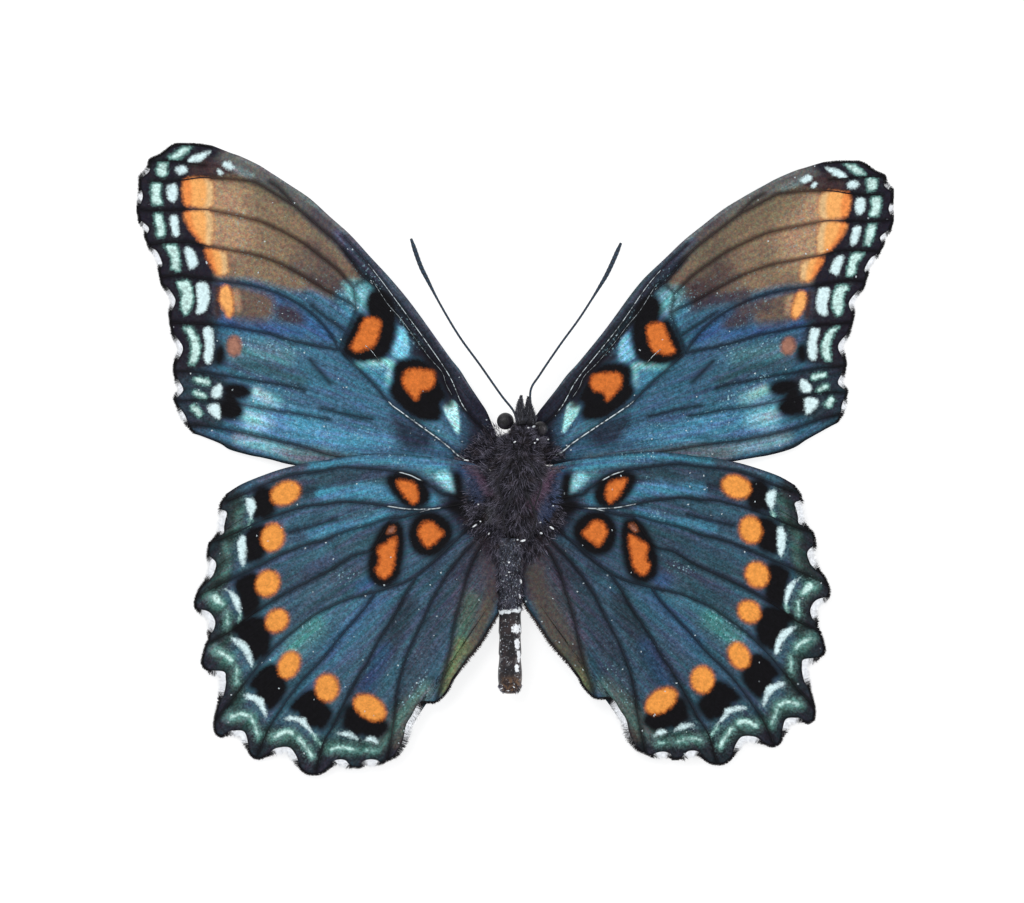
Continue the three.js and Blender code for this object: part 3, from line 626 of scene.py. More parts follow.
# Left forewing, in plan points. The margin's third number is how white its fringe is there. Veins have a
# line and the half width at its root and tip; shine has a line, a reach and a strength. Washes are colour,
# strength, softness and half width round a line, or 0 for an area, laid one over another. Ink, mint and
# white are a half width round a line, or 0 for an area. Glints are strength, reach and line.
forewing = {
    "costa": pts(508, 444, 497, 436, 494.8, 430.7, 487, 412, 480, 401, 470, 386, 460, 370, 450, 357.5,
                 430, 329.5, 410, 302, 390, 278, 370, 256.4, 350, 234.5, 330, 216.7, 310, 198.5, 290, 185,
                 270, 172, 258, 164.5, 240, 156, 230, 152.5, 212, 145.3),
    "margin": triples(
        212, 145.3, 0, 200, 143.2, 0, 184, 142.3, 0, 173, 143.4, 0, 160, 152.7, 0, 151, 157, 0,
        148, 160, 0, 148, 166, .3, 146.7, 171, .6, 140, 176, .3, 138, 180, 0, 138, 188, 0, 141.5, 196, 1,
        138.5, 202, .4, 135.6, 209, 0, 137, 216, 0, 139, 222, .2, 147.6, 228, 1, 143.4, 235, 0,
        145.7, 242, 0, 150, 249, .3, 156, 252, 1, 160.5, 263, .8, 157.4, 269, 0, 158.8, 277, 0,
        160.7, 285, 0, 166, 289, .4, 174.2, 300, 1, 169, 311, .2, 168.3, 319, 0, 170, 329, 0,
        172.8, 336, .3, 181.7, 348, 1, 174.7, 361, .2, 172.3, 368, 0, 173.3, 375, 0, 176.5, 381, .4,
        182, 390, 1, 173.7, 398, .2, 175.6, 406, 0, 184, 416, 1, 185, 421, .5, 189.6, 430, 0,
        193, 433.5, 0),
    "inner": pts(504, 470, 489, 469, 440, 471, 380, 471, 330, 469, 292.5, 465, 272, 460, 260, 457.3, 250, 455.4,
                 230, 449.8, 220, 443.7, 202.7, 436.7, 193, 433.5),
    "rows": 200, "columns": 214, "crowd": 0.35, "whiteFringe": 6.5, "flow": (420, 420),
    "veins": [
        (pts(488, 434, 464.4, 408, 450, 377, 430, 347, 400, 305.7, 370, 266, 343, 236), .8, .5),
        (pts(373, 284, 361, 274, 351.5, 260, 337, 242.5, 320, 227.6, 295, 206, 280, 196.7, 260, 184.5, 250,
            180.8, 220, 178, 200, 177.5, 180, 180, 150, 181), 1.1, .7),
        (pts(295, 206, 280, 189, 270, 182), .7, .4),
        (pts(368, 277, 360, 282, 354, 288, 356, 307, 352, 320, 345, 335, 339, 350), .4, .5),
        (pts(354, 288, 337, 269, 314, 251, 300, 241, 270, 225, 250, 218.6, 230, 214, 210, 210, 200, 209, 156,
            210, 140, 209), 1, .6),
        (pts(356, 307, 350, 303, 333, 294, 300, 274, 280, 263.5, 260, 256, 240, 251.7, 210, 246.6, 190, 242,
            170, 242, 150, 244), 1.1, .7),
        (pts(339, 350, 332, 336, 318, 319, 305, 308, 290, 299, 270, 290.5, 250, 285, 220, 280.7, 200, 278, 180,
            275, 161, 277), 1.1, .7), (pts(345, 331, 323, 315, 311, 306), .7, .4),
        (pts(339, 350, 330, 348.3, 310, 344.6, 290, 340, 270, 334, 250, 330, 230, 326.4, 210, 324, 190, 323.4,
            171, 322), 1.1, .7),
        (pts(480, 461, 462, 458, 450, 448, 440, 440, 420, 425.6, 400, 411, 390, 403, 370, 380, 350, 360.5, 340,
            350), 1.3, .9),
        (pts(304, 390, 298, 388, 281, 384.5, 260, 381, 240, 377.7, 220, 375, 200, 372, 175, 371), .6, .8),
        (pts(372, 419, 358, 416.5, 345, 413.5, 320, 408.5), .7, .3),
        # A short vein that carries a painted highlight: the glint on a fold across the orange spot's lower
        # corner.
        (pts(365.5, 345.5, 372, 351.5, 379, 360.5), .45, .3),
        (pts(330, 420, 300, 414, 280, 411, 260, 408, 240, 404, 220, 401, 200, 399.7, 177, 401), .7, .5),
        (pts(478, 466, 440, 466, 400, 464, 337, 456, 310, 448.4, 290, 443.3, 270, 439, 250, 434.4, 230, 430,
            210, 426.5, 188, 424), 1.1, .7), (pts(205, 165, 190, 163, 180, 161, 160, 160.5, 150, 160), .6, .5),
        # A thin vein that carries a dotted painted highlight.
        (pts(373, 281, 387, 303, 401, 319, 412, 334, 429, 357, 442, 372, 446, 384, 452, 395), .5, .4),
    ],
    "shine": [(pts(391, 404, 420, 425.6, 440, 440, 461, 457), 3, 1.2),
              (pts(370, 266, 400, 305.7, 430, 347, 450, 377, 464.4, 408), 3, 1.2),
              (pts(373, 281, 401, 319, 429, 357, 442, 372, 452, 395), 3, .6),
              (pts(365.5, 345.5, 372, 351.5, 379, 360.5), 2, 1.6)],
    "ground": "steel",
    "washes": [
        ("cobalt", .9, 7, 7, 196, 288, 250, 294, 292, 312, 326, 334),
        ("tealGrey", .9, 9, 8, 232, 352, 262, 352, 286, 356),
        ("darkGreen", .6, 8, 6, 236, 366, 270, 370, 300, 380),
        ("brown", 1, 5, 0, 200, 176, 250, 180, 285, 192, 320, 224, 350, 256, 362, 276, 352, 290, 332, 296, 312,
            289, 292, 290, 250, 279, 205, 276, 196, 240),
        ("oliveBrown", .9, 7, 8, 220, 172, 260, 182, 296, 204, 330, 234),
        ("tan", 1, 14, 0, 204, 182, 236, 184, 250, 210, 250, 246, 236, 258, 218, 258, 202, 240),
        ("umber", .7, 14, 13, 312, 250, 332, 272, 345, 288), ("maroon", .35, 9, 7, 318, 280, 338, 290),
        ("dullBrown", 1, 5, 0, 228, 286, 250, 289, 270, 296, 274, 306, 268, 318, 240, 319, 226, 316),
        ("maroon", .85, 5, 0, 276, 306, 290, 305, 303, 315, 302, 325, 284, 324, 276, 318),
        ("cobalt", .8, 5, 5, 206, 321, 250, 326, 300, 332),
        ("greyBrown", 1, 6, 11, 150, 160, 200, 150, 240, 160, 280, 184, 320, 216, 352, 248),
        ("mauve", .75, 6, 9, 316, 214, 336, 232, 356, 252),
        ("night", 1, 7, 12, 360, 256, 400, 304, 440, 362, 478, 412),
        ("indigo", .7, 5, 6, 342, 238, 365, 262, 385, 285, 408, 313), ("indigo", 1, 4, 4, 338, 233, 352, 248),
        ("plum", .55, 8, 8, 296, 268, 318, 280, 336, 287),
        ("inkBlue", .8, 3, 3, 345, 250, 375, 283, 400, 316, 430, 358, 448, 384, 458, 402),
        ("paleEdge", .75, 2, 1.2, 238, 157, 262, 168, 290, 186, 320, 210, 345, 232),
        ("dimEdge", .8, 2, 1.2, 345, 232, 372, 260, 400, 292, 430, 332, 460, 373, 485, 412),
        ("sky", 1, 9, 0, 243, 404, 300, 412, 350, 430, 400, 440, 350, 452, 290, 438, 245, 428),
        ("paleSky", 1, 8, 0, 243, 408, 262, 411, 272, 424, 250, 428), ("cyan", 1, 6, 6, 256, 395, 274, 402),
        ("glowMint", .9, 4, 3, 256, 392, 268, 398), ("glowMint", .6, 4, 3, 246, 416, 256, 420),
        ("mist", .9, 5, 5, 238, 438, 262, 444, 290, 453),
        ("paleSky", .6, 4, 3.5, 242, 440, 262, 445, 274, 448),
        ("stone", 1, 6, 8, 292, 456, 325, 458, 350, 464, 430, 470),
        ("charcoal", .9, 2, 2.5, 193, 433, 220, 443, 250, 455, 292, 465),
        ("smoke", .95, 7, 0, 392, 416, 412, 422, 431, 434, 430, 448, 410, 450, 395, 438),
        ("cyan", .9, 6, 0, 345, 283, 366, 284, 371, 300, 366, 308, 350, 306),
        ("seaBlue", .8, 4, 4, 340, 296, 352, 318),
        ("soot", 1, 4, 0, 128, 150, 172, 136, 222, 142, 218, 156, 206, 168, 194, 178, 191, 190, 191, 212, 196,
            234, 208, 248, 213, 264, 215, 278, 214, 300, 215, 320, 215, 340, 217, 352, 214, 366, 190, 372, 160,
            380, 120, 300), ("maroon", 1, 4, 4.5, 217, 288, 217, 314), ("tan", .9, 3, 3, 236, 293, 237.5, 308),
        ("mauve", .5, 4, 4, 240, 320.5, 264, 321), ("slateDark", .7, 4, 5, 213, 320, 216, 345, 222, 360),
        ("maroon", 1, 4, 0, 192, 160, 214, 160, 230, 166, 236, 174, 214, 178, 192, 178),
        ("paleEdge", .8, 3, 3, 234, 168, 250, 176),
        ("charcoal", .9, 6, 0, 160, 368, 200, 370, 226, 378, 236, 400, 222, 424, 190, 432, 160, 420),
        ("dusk", 1, 10, 0, 462, 400, 480, 396, 510, 420, 512, 480, 470, 474, 452, 462, 462, 444, 466, 420),
        ("iceStreak", 1, 1.5, 0, 444, 407, 451, 401, 456, 403, 458.5, 414, 459.5, 431, 457, 434, 452, 425, 447,
            417), ("icePatch", 1, 3, 0, 424, 421, 436, 422, 446, 430, 452, 438, 446, 437, 432, 430),
        ("slateDark", .85, 4, 5, 399, 303, 412, 324, 426, 347),
        ("soot", .9, 4, 5, 416, 352, 428, 356, 446, 384, 449, 403),
        ("iceBlue", 1, 2, 0, 399, 328, 405, 330, 408, 342, 407, 355, 400, 358, 392, 352, 396, 340),
        ("glow", .7, 2, 1.5, 404, 333, 406, 345),
        ("seaBlue", 1, 4, 0, 355, 361, 380, 359, 394, 361, 394, 374, 389, 393, 372, 380),
        ("cyan", 1, 4, 4, 360, 363, 372, 363, 391, 364), ("cyan", .8, 3, 2.5, 390, 366, 388, 384),
        ("mintGlow", .9, 3, 2.5, 370, 361.5, 382, 361, 391, 363.5), ("mintGlow", .5, 3, 2, 391, 366, 389, 376),
        ("bluePatch", 1, 3, 0, 420, 419, 440, 423, 455, 440, 458, 445, 450, 441, 434, 434),
    ],
    "orange": [
        ("barPale", pts(184, 180, 211, 180, 211.5, 206, 188, 206, 183, 200)),
        ("barOrange", pts(184, 180, 203, 180, 203, 205, 188, 205, 184, 200)),
        ("barDeep", pts(184, 180, 188, 180, 190, 190, 189, 205, 186, 204, 184, 200)),
        ("barPale", pts(185, 212, 211.5, 212, 212, 243, 203, 243, 196, 238, 187, 225)),
        ("barOrange", pts(186, 213, 203, 213, 204, 241, 202, 242, 196, 238, 188, 225)),
        ("barDeep", pts(186, 213, 189, 213, 193, 228, 200, 240, 196, 238, 188, 225)),
        ("barPale", pts(205, 250, 222, 250.5, 228, 256, 228, 270, 224, 275, 216, 273.5, 209, 262)),
        ("barOrange", pts(205, 250, 216, 250, 220, 260, 220, 274, 216, 273.5, 209, 262)),
        ("barDeep", pts(205, 250, 210, 250, 213, 260, 215, 271, 209, 262)),
        ("barOrange", pts(221, 287, 229, 286, 233, 297, 234, 308, 230, 317, 225, 313, 219, 300)),
        ("dullRose", oval(234, 346, 7, 9.5, 0)),
        ("deepOrange", pts(366, 318, 376, 318, 381, 323, 378, 338, 372, 348, 365, 349, 360, 352, 352, 350, 351,
            346, 357, 335, 362, 323)),
        ("deepOrange", pts(404, 373, 412, 369, 430, 370, 435, 375, 434, 384, 428, 390, 421, 391, 418, 399, 415,
            400, 408, 392, 403, 384)),
    ],
    "ink": [
        (0, oval(237, 391, 14, 8, 8)), (0, oval(230, 410, 14, 9.5, 8)), (0, oval(219.5, 355, 5, 10, 10)),
        (6, 229, 397, 232, 404), (1.2, 310, 360, 318, 369, 330, 383),
        (0, 368, 316, 366, 302, 372, 291, 384, 291, 393, 300, 396, 314, 396, 328, 393, 343, 386, 357, 366, 362,
            352, 360, 342, 350, 349, 330, 359, 314),
        (0, 394, 366, 393, 380, 389, 393, 401, 408, 418, 420, 436, 421, 442, 414, 441, 404, 446, 396, 440, 380,
            432, 366, 420, 358, 402, 360),
    ],
    "inkGrow": 0.5, "mintGrow": -0.6, "whiteGrow": -0.6, "halo": 0.12,
    "mint": [
        (0, 167.4, 158.2, 177.3, 148.7, 185, 145, 192.7, 146.5, 180, 158.6),
        (0, 156.8, 163, 167.8, 161.9, 166.3, 176.6, 156, 175.1),
        (0, 151.3, 183, 162, 183.5, 160.8, 193.8, 162.6, 204.4, 152, 204.8, 149.8, 193.8),
        (0, 153.1, 213.6, 162, 213.2, 164.8, 224.6, 165.2, 235.6, 157.5, 237.4, 154.2, 224.6),
        (0, 163, 245.5, 176.2, 244.4, 179.5, 253.2, 180.2, 270.4, 170.7, 269, 169.2, 256.5),
        (0, 175.1, 281.8, 188.3, 279.6, 193.8, 292.8, 192.7, 306, 185, 316, 179.5, 306, 180.2, 292.8),
        (0, 182.5, 327, 192, 327, 199, 338, 201, 352, 196, 364, 188, 364, 190, 350, 188, 338),
        (4.2, 197, 380, 207, 382), (3.8, 196, 393, 204, 396), (4.4, 194, 408, 199, 413),
    ],
    "white": [
        (0, 187.2, 161.9, 192.7, 155.3, 202.6, 152, 211, 151, 205.9, 156.8, 198.2, 161.9),
        # The oval at 228, 165.6 is a painted highlight: a glint laid in as a white mark.
        (0, oval(181, 169.6, 6.2, 5, 0)), (0, oval(228, 165.6, 6.2, 4.2, 25)), (2.3, 219, 171, 221, 173),
        (0, 167.8, 185, 175.8, 183.9, 177.3, 193.8, 174, 202.2, 168.5, 200.4, 166.3, 192.7),
        (0, 169.2, 216.2, 176.6, 215.4, 178.8, 224.6, 178.8, 235.2, 172.9, 235.6, 170.3, 226.8),
        (0, 184, 248.4, 191.6, 247.7, 197.1, 258.7, 197.8, 264.2, 189.4, 269.7, 186.1, 259.8),
        (0, 196, 284, 207, 282.9, 209.6, 297.2, 205.9, 310.4, 196, 313.7, 197.1, 301.6),
        (0, 203, 329, 212, 328, 214, 345, 212, 360, 207, 364, 203.5, 358, 204.5, 344),
        (0, 214.3, 385.7, 221, 384, 222, 394.7, 216.6, 398.5, 210.5, 394.7),
        (0, 208.3, 405.3, 218.8, 403.8, 220.3, 418.8, 214.3, 417.3, 208.3, 411.3),
    ],
    "rightWashes": [("oliveBrown", .7, 12, 12, 240, 190, 290, 215, 330, 250),
                    ("umber", .9, 6, 7, 262, 301, 284, 303),
                    ("plum", .95, 6, 7, 284, 288, 312, 292, 330, 297),
                    ("maroon", .6, 8, 8, 306, 262, 328, 280, 342, 286)],
    "rightSideShade": 0.2,
    "rimLines": [pts(497, 436, 494.8, 430.7, 487, 412)],
    "glints": [(.9, 16, 345, 290, 371, 298), (.4, 18, 266, 300, 288, 314),
               (.7, 18, 245, 345, 300, 352), (.5, 26, 250, 420, 380, 440),
               (.8, 16, 256, 394, 290, 404), (.8, 12, 375, 366, 385, 372),
               (.25, 30, 225, 200, 260, 260, 320, 290), (.5, 14, 330, 292, 352, 312),
               (.6, 14, 240, 376, 290, 392), (.5, 10, 358, 262, 420, 345)],
}

# Left hindwing, seen over the forewing.
hindwing = {
    "costa": pts(500, 476, 480, 466, 460, 460.7, 430, 457, 400, 453.7, 370, 453.6, 340, 457.3, 325, 460.3,
                 311, 461.7, 293.3, 465.9, 278.3, 470, 259.7, 476.6, 241, 484.5, 226, 493.9),
    "margin": triples(
        226, 493.9, 0, 220, 502.3, 0, 219, 507.9, 0, 220.5, 511, .5, 226, 512.5, 1, 225, 518, 1,
        223.3, 526.5, 1, 222.8, 532, .8, 218.6, 533.5, .3, 213, 537.7, 0, 209.3, 541.5, 0, 207.4, 546, 0,
        206.5, 553, 0, 208.3, 557.8, .3, 213.9, 561, 1, 215.3, 565, 1, 213.9, 570.4, 1, 212, 574.5, .9,
        207.4, 578.7, .4, 202.7, 582.4, 0, 199, 587, 0, 196.2, 592.7, 0, 193.9, 599.2, 0, 193.4, 604.8, 0,
        195, 609.5, 0, 200.4, 611.3, .4, 206.5, 611.8, 1, 211, 615, 1, 214, 620.7, 1, 214, 625.3, 1,
        211.6, 630, .6, 208.3, 633, .2, 207.4, 638.4, 0, 205, 644, 0, 202.7, 650.5, 0, 200.9, 658, 0,
        200.4, 663.6, 0, 202.7, 668.3, 0, 206.5, 671, 0, 212, 672.5, .4, 223.3, 672.5, 1, 224.7, 678, 1,
        224.7, 685, 1, 222, 694, .6, 218.7, 698, .2, 216.8, 703, 0, 214.5, 712.3, 0, 213, 719.7, 0,
        212.6, 727.2, 0, 214, 733.7, 0, 217.3, 737, 0, 222, 738.4, 0, 226, 736.5, 0, 230, 733.3, .4,
        234.5, 731.7, 1, 240, 731.4, 1, 243.8, 733, 1, 245.8, 738, 1, 246, 743.5, .5, 246.7, 750.5, 0,
        249.5, 756, 0, 254, 759.4, 0, 259.7, 760.3, 0, 265.3, 758, 0, 271, 754.5, .2, 275.1, 750, .8,
        280.3, 748.2, 1, 286.8, 747.9, 1, 291, 749.8, 1, 295, 756, .9, 296.5, 763, .3, 298.5, 768.3, 0,
        301.7, 772, 0, 307.3, 775.3, 0, 313, 776.2, 0, 319.5, 775.3, 0, 325, 773, 0, 330.7, 768.5, 0,
        334.4, 763, .4, 339, 760.3, 1, 344.9, 761, 1, 348, 765.5, .5, 352.3, 768.3, 0, 360.5, 768.3, 0,
        364.5, 762.6, .5, 370, 760, 1, 375.7, 761, .8, 380.3, 764, .2, 386, 762.7, 0, 391.5, 759.9, 0,
        396, 756, .2, 400.9, 749.6, .3, 405, 740, .5, 407.4, 725.3, .8, 413, 715.5, .8, 419, 705.8, .5,
        424, 703.6, 0, 434.5, 703.5, 0, 441.9, 699.2, 0, 450.3, 689, 0, 455, 678.7, 0),
    "inner": pts(514, 556, 511, 588, 503, 606, 495, 618.6, 480, 643.6, 466, 661, 455, 678.7),
    "rows": 146, "columns": 310, "crowd": 0.3, "whiteFringe": 9.0, "flow": (300, 520),
    "veins": [
        (pts(476, 498, 443.8, 494, 435.4, 488.5, 427, 483.4, 417.7, 478.7, 408.3, 474.5, 389.7, 470.3, 361.7,
            468, 343, 467, 324.3, 470.3, 301.7, 473.3, 287.7, 476, 264.3, 484.5, 242.9, 494.8, 226, 501), 1.2,
            .8),
        (pts(474, 502, 441, 507.7, 427, 509, 408.3, 508.9, 389.7, 506.3, 371, 503.5, 343, 501.6, 324.3, 504.4,
            306.3, 506, 278.3, 514.4, 259.7, 521, 241, 530.3, 224.2, 537.7, 211, 542), 1.2, .8),
        (pts(430, 509, 404.6, 516.5, 387.8, 518, 371, 524, 343, 531.9, 324.3, 539.9, 304.5, 545.2, 283, 553.6,
            264.3, 563, 250.3, 569.8, 241, 573.5, 222.3, 583.3, 205.5, 591.7, 197, 596), 1.1, .8),
        (pts(391, 519, 382, 535, 371, 550, 352.3, 555.7, 333.7, 567.9, 315.7, 577.7, 297, 587, 278.3, 597.3,
            259.7, 609, 244.7, 619.7, 229.8, 631.9, 214.9, 639.3, 204, 645), 1.1, .8),
        (pts(482, 518, 474, 524, 467, 529.5, 455, 541, 427, 567.5, 408.3, 580, 389.7, 587, 371, 592.7, 352.3,
            597.3, 333.7, 604.8, 315.7, 614, 297, 628, 278.3, 644, 259.7, 663.6, 241, 688, 225.2, 708.5, 215,
            719), 1.3, .8),
        (pts(376, 591, 367.3, 604.8, 352.3, 622.5, 337.4, 640.3, 322.5, 658.9, 302.7, 679.6, 289.6, 696.4,
            276.5, 716, 268, 730, 257, 756), 1.1, .8),
        (pts(418, 574, 406.5, 592.7, 397, 611.3, 378.5, 641.2, 367.3, 662.7, 359.8, 673.9, 343.9, 703.9, 333.7,
            725.3, 323.4, 743, 316, 772), 1.1, .8),
        (pts(484, 532, 470, 546, 458, 560, 445.7, 576.8, 433.5, 597.3, 421.4, 623.5, 409.3, 649.6, 400.9, 675,
            397, 692.7, 395.3, 712.3, 392.5, 731, 388, 758), 1.1, .8),
        (pts(490, 534, 480, 547, 469, 570, 462, 595, 455, 620.7, 450.3, 648.7, 444.7, 673, 439, 692.7, 437,
            701), .9, .7), (pts(290, 532, 312, 526, 336, 519), .5, .3),
    ],
    "shine": [(pts(391, 506.5, 408.3, 508.9, 427, 509, 438, 507.9), 3, .85),
              (pts(401.8, 472.8, 410, 475.2, 419, 479.4), 3, .95)],
    "ground": "slate",
    "washes": [
        ("seaBlue", .9, 4, 4, 310, 466, 340, 461, 372, 459, 410, 461, 445, 467),
        ("sky", .6, 4, 4, 408, 459, 440, 464), ("indigo", .7, 4, 4, 262, 481, 285, 471, 305, 466),
        ("deepSlate", 1, 4, 6, 276, 486, 320, 479, 360, 476, 400, 482),
        ("dim", 1, 5, 6, 266, 495, 290, 492, 312, 490),
        ("seaBlue", 1, 4, 5, 322, 494, 345, 493, 375, 492, 400, 497, 432, 500),
        ("sky", .8, 5, 5, 362, 489, 384, 491), ("slate", 1, 5, 6, 270, 524, 300, 516, 340, 511, 385, 512),
        ("seaBlue", .85, 5, 5, 312, 533, 332, 528.5, 356, 526, 385, 515),
        ("slate", 1, 6, 8, 280, 562, 320, 552, 340, 547), ("deepSlate", 1, 6, 8, 340, 547, 356, 542, 372, 536),
        ("deepSlate", .9, 7, 8, 260, 598, 300, 577, 330, 568, 360, 570),
        ("indigo", .3, 6, 6, 300, 592, 335, 580), ("duskBlue", .6, 6, 6, 338, 580, 356, 574),
        ("cobalt", .6, 5, 5, 356, 588, 374, 580),
        ("deepSlate", .8, 5, 7, 260, 640, 300, 612, 330, 596, 350, 590),
        ("bluePatch", .8, 8, 9, 268, 668, 296, 642, 326, 618, 356, 604),
        ("greenBlue", .8, 8, 9, 294, 646, 316, 626),
        ("steel", .8, 8, 9, 298, 706, 330, 660, 356, 628, 384, 600),
        ("cobalt", .4, 6, 5, 330, 650, 352, 622, 374, 600),
        ("charcoal", .7, 8, 10, 340, 725, 362, 690, 388, 648, 408, 606),
        ("cobalt", .4, 7, 7, 366, 690, 384, 650),
        ("duskBlue", .85, 8, 12, 398, 730, 408, 690, 428, 640, 450, 590, 466, 556),
        ("ash", .9, 10, 14, 482, 556, 476, 584, 466, 610), ("fern", .95, 7, 8, 471, 600, 467, 618, 461, 640),
        ("umberGrey", .95, 5, 6, 494, 586, 487, 608, 478, 632, 468, 652),
        ("moss", .95, 6, 7, 462, 646, 453, 668, 447, 690),
        ("charcoal", 1, 7, 15, 228, 498, 228, 525, 214, 550, 218, 570, 202, 600, 218, 622, 210, 660, 228, 684,
            222, 722, 244, 728, 256, 750, 284, 742, 312, 766, 340, 754, 372, 754, 396, 740, 408, 712),
        ("darkGreen", .7, 6, 7, 240, 505, 234, 525, 226, 556, 222, 572, 214, 598, 230, 624, 224, 656, 238, 684,
            238, 716, 252, 724, 276, 736, 300, 744, 330, 744, 372, 746),
        ("seafoam", .6, 5, 5, 209, 596, 221, 604), ("seafoam", .5, 4, 3, 227, 612, 228, 626),
        ("seafoam", .65, 5, 5, 215, 650, 230, 659), ("seafoam", .5, 4, 3, 237, 667, 236, 684),
        ("seafoam", .65, 5, 5, 229, 717, 250, 716), ("seafoam", .5, 4, 3, 253, 720, 259, 738),
        ("seafoam", .65, 5, 4, 273, 737, 293, 733), ("seafoam", .5, 4, 3, 299, 738, 313, 757),
        ("seafoam", .5, 5, 4, 330, 749, 356, 749), ("seafoam", .45, 4, 3, 366, 750, 376, 750),
        ("seafoam", .35, 4, 3, 226, 545, 228, 556), ("seafoam", .35, 4, 3, 240, 512, 237, 526),
        ("seafoam", .3, 4, 3, 229, 566, 225, 577),
        ("dusk", 1, 10, 0, 484, 470, 530, 460, 530, 600, 506, 600, 492, 560, 476, 540, 452, 518, 448, 500, 466,
            498, 482, 490), ("dusk", .8, 8, 6, 458, 480, 460, 510, 466, 530),
        ("cyan", .3, 4, 4, 430, 472, 440, 478),
        ("glow", 1, 3, 0, 436, 476, 443, 471, 450, 474.5, 455, 483, 456, 493, 450, 490.5, 443, 485),
        ("plum", .8, 6, 5, 466, 478, 480, 496, 488, 512), ("cobalt", .5, 6, 5, 462, 470, 478, 486),
        ("deepNight", .85, 7, 8, 452, 504, 466, 516, 482, 532),
        ("deepNight", .8, 6, 7, 490, 470, 494, 500, 492, 530),
        ("mauve", .8, 8, 9, 482, 546, 490, 566, 494, 592),
        ("umberGrey", .5, 4, 4, 396, 744, 405, 724, 417, 708),
        ("sage", .8, 8, 7, 380, 741, 397, 723, 412, 703, 427, 689), ("night", .6, 9, 9, 476, 552, 462, 574),
        ("dusk", .4, 8, 8, 446, 546, 432, 572),
    ],
    "rightWashes": [
        ("ash", .85, 8, 10, 474, 592, 464, 616, 452, 648),
        ("plumBrown", .85, 6, 9, 494, 572, 484, 600, 470, 630, 454, 662),
    ],
    "rightSideShade": 0.2,
    "orange": [
        ("orange", oval(285.7, 493.2, 15.5, 11.3, 155.6)), ("orange", oval(272.7, 537.3, 14, 11.5, 103)),
        ("orange", oval(267.7, 583.3, 13.5, 11.8, 117)), ("orange", oval(277.1, 620.5, 12.5, 10.6, 135)),
        ("orange", oval(289, 664.9, 14.5, 10.4, 116)), ("orange", oval(327.2, 687.7, 13.9, 11.9, 90)),
        ("orange", oval(370.1, 707.4, 17.5, 11.4, -147)),
        ("deepOrange", pts(397.6, 480, 409.3, 481, 414.9, 483.9, 417.7, 488.5, 418.6, 496, 417.7, 500.7, 413.9,
            503.9, 409.3, 500.7, 403.7, 495, 398, 485.7)),
        ("deepOrange", pts(420.5, 525.9, 426, 521.2, 432.6, 522, 438.2, 527.7, 442.9, 531.5, 442.9, 535.2,
            431.7, 545.5, 427.9, 547.3, 424.2, 544.5, 420.5, 538.9, 418.6, 532.4)),
        ("deepOrange", pts(396.2, 537, 391.5, 538, 386, 542.7, 379.4, 546.4, 377.5, 551, 379.4, 557.6, 378.5,
            565, 375.7, 568.4, 378.5, 575, 382.2, 578.7, 387.8, 576.8, 392.5, 571.2, 394.3, 564.7, 395.3,
            555.7, 397, 544.5)), ("dullRose", pts(388, 533, 390, 528, 394.3, 526, 395, 529, 392, 533)),
    ],
    "ink": [
        (0, 257, 493, 266, 490, 274, 496, 274, 508, 262, 516, 254, 518, 256, 506),
        (0, 246, 534, 258, 526, 266, 528, 262, 548, 258, 558, 248, 562, 247, 548),
        (0, 236, 582, 252, 573, 258, 580, 256, 600, 254, 612, 244, 617, 241, 602),
        (0, 233, 628, 246, 619, 262, 618, 269, 632, 270, 642, 262, 655, 254, 660, 250, 646, 240, 636),
        (0, 250, 684, 264, 667, 276, 666, 286, 684, 282, 697, 270, 709, 264, 698, 256, 690),
        (0, 290, 708, 300, 696, 314, 690, 324, 702, 332, 712, 328, 722, 320, 729, 312, 720, 302, 713),
        (0, 344, 726, 347, 708, 356, 708, 369, 720, 383, 720, 388, 729, 378, 735, 366, 733, 356, 735, 349,
            729), (0, 388, 478, 400, 473, 416, 476, 427, 487, 429, 500, 420, 507, 405, 505, 394, 494),
        (0, 410, 528, 419, 515, 436, 513, 450, 524, 451, 538, 436, 554, 420, 554, 411, 543),
        (0, 376, 540, 384, 526, 398, 522, 404, 536, 402, 562, 397, 578, 384, 586, 371, 579, 369, 560),
        (10.5, 264, 498, 264, 507), (10.5, 257, 537, 255, 550), (9.5, 248, 584, 250, 604),
        (12, 250, 633, 258, 645), (13, 268, 683, 270, 692), (14, 311, 705, 314, 713), (12, 357, 719, 374, 726),
        (3, 457, 476, 460, 498), (5, 456, 506, 470, 512, 482, 520),
    ],
    "inkGrow": 1.8, "mintGrow": -0.2, "whiteGrow": -0.9, "halo": 0.8,
    "mint": [
        (1.6, 250.5, 519, 249, 525),
        (0, 212, 593.6, 217.7, 592.7, 221.4, 597.3, 225, 603.9, 224.2, 606.7, 219.5, 605.7, 213, 602, 209.3,
            597.3), (2, 227.5, 613, 227.5, 626), (3, 217, 651, 226, 655, 231, 660), (2, 237, 668, 236.5, 683),
        (3, 231, 717, 241, 714, 250, 717), (2.4, 252, 719, 258, 736), (3.4, 275, 737, 284, 732, 292, 733),
        (3, 299, 738, 312, 756), (2.4, 331, 749, 340, 747, 354, 749), (1.8, 240, 614, 239, 621),
        (1.8, 313, 735, 320, 744), (1.6, 367, 750, 375, 750.5),
    ],
    "white": [
        (0, 245.7, 498, 252.2, 497.6, 255.5, 500.4, 256.9, 505, 255.9, 509.7, 253.6, 515.3, 251.3, 519.5,
            249.4, 517.2, 247, 510.7, 245.7, 504),
        (0, 240, 535.9, 245.7, 536.3, 246.6, 543.3, 247, 550.8, 246.6, 557.3, 244.7, 565.7, 242, 565.7, 239,
            559.2, 237.3, 548, 237.3, 541.5),
        (0, 224.2, 588, 231.7, 590.8, 236.3, 593.6, 240, 600, 241.5, 606.7, 241, 615, 238.2, 613.2, 235.4,
            607.6, 231.7, 600.1, 229.8, 594.5),
        (0, 229.8, 637.5, 237.3, 638, 244.7, 641.2, 249.4, 646.8, 252.7, 655.2, 253.6, 664, 251.3, 667, 247,
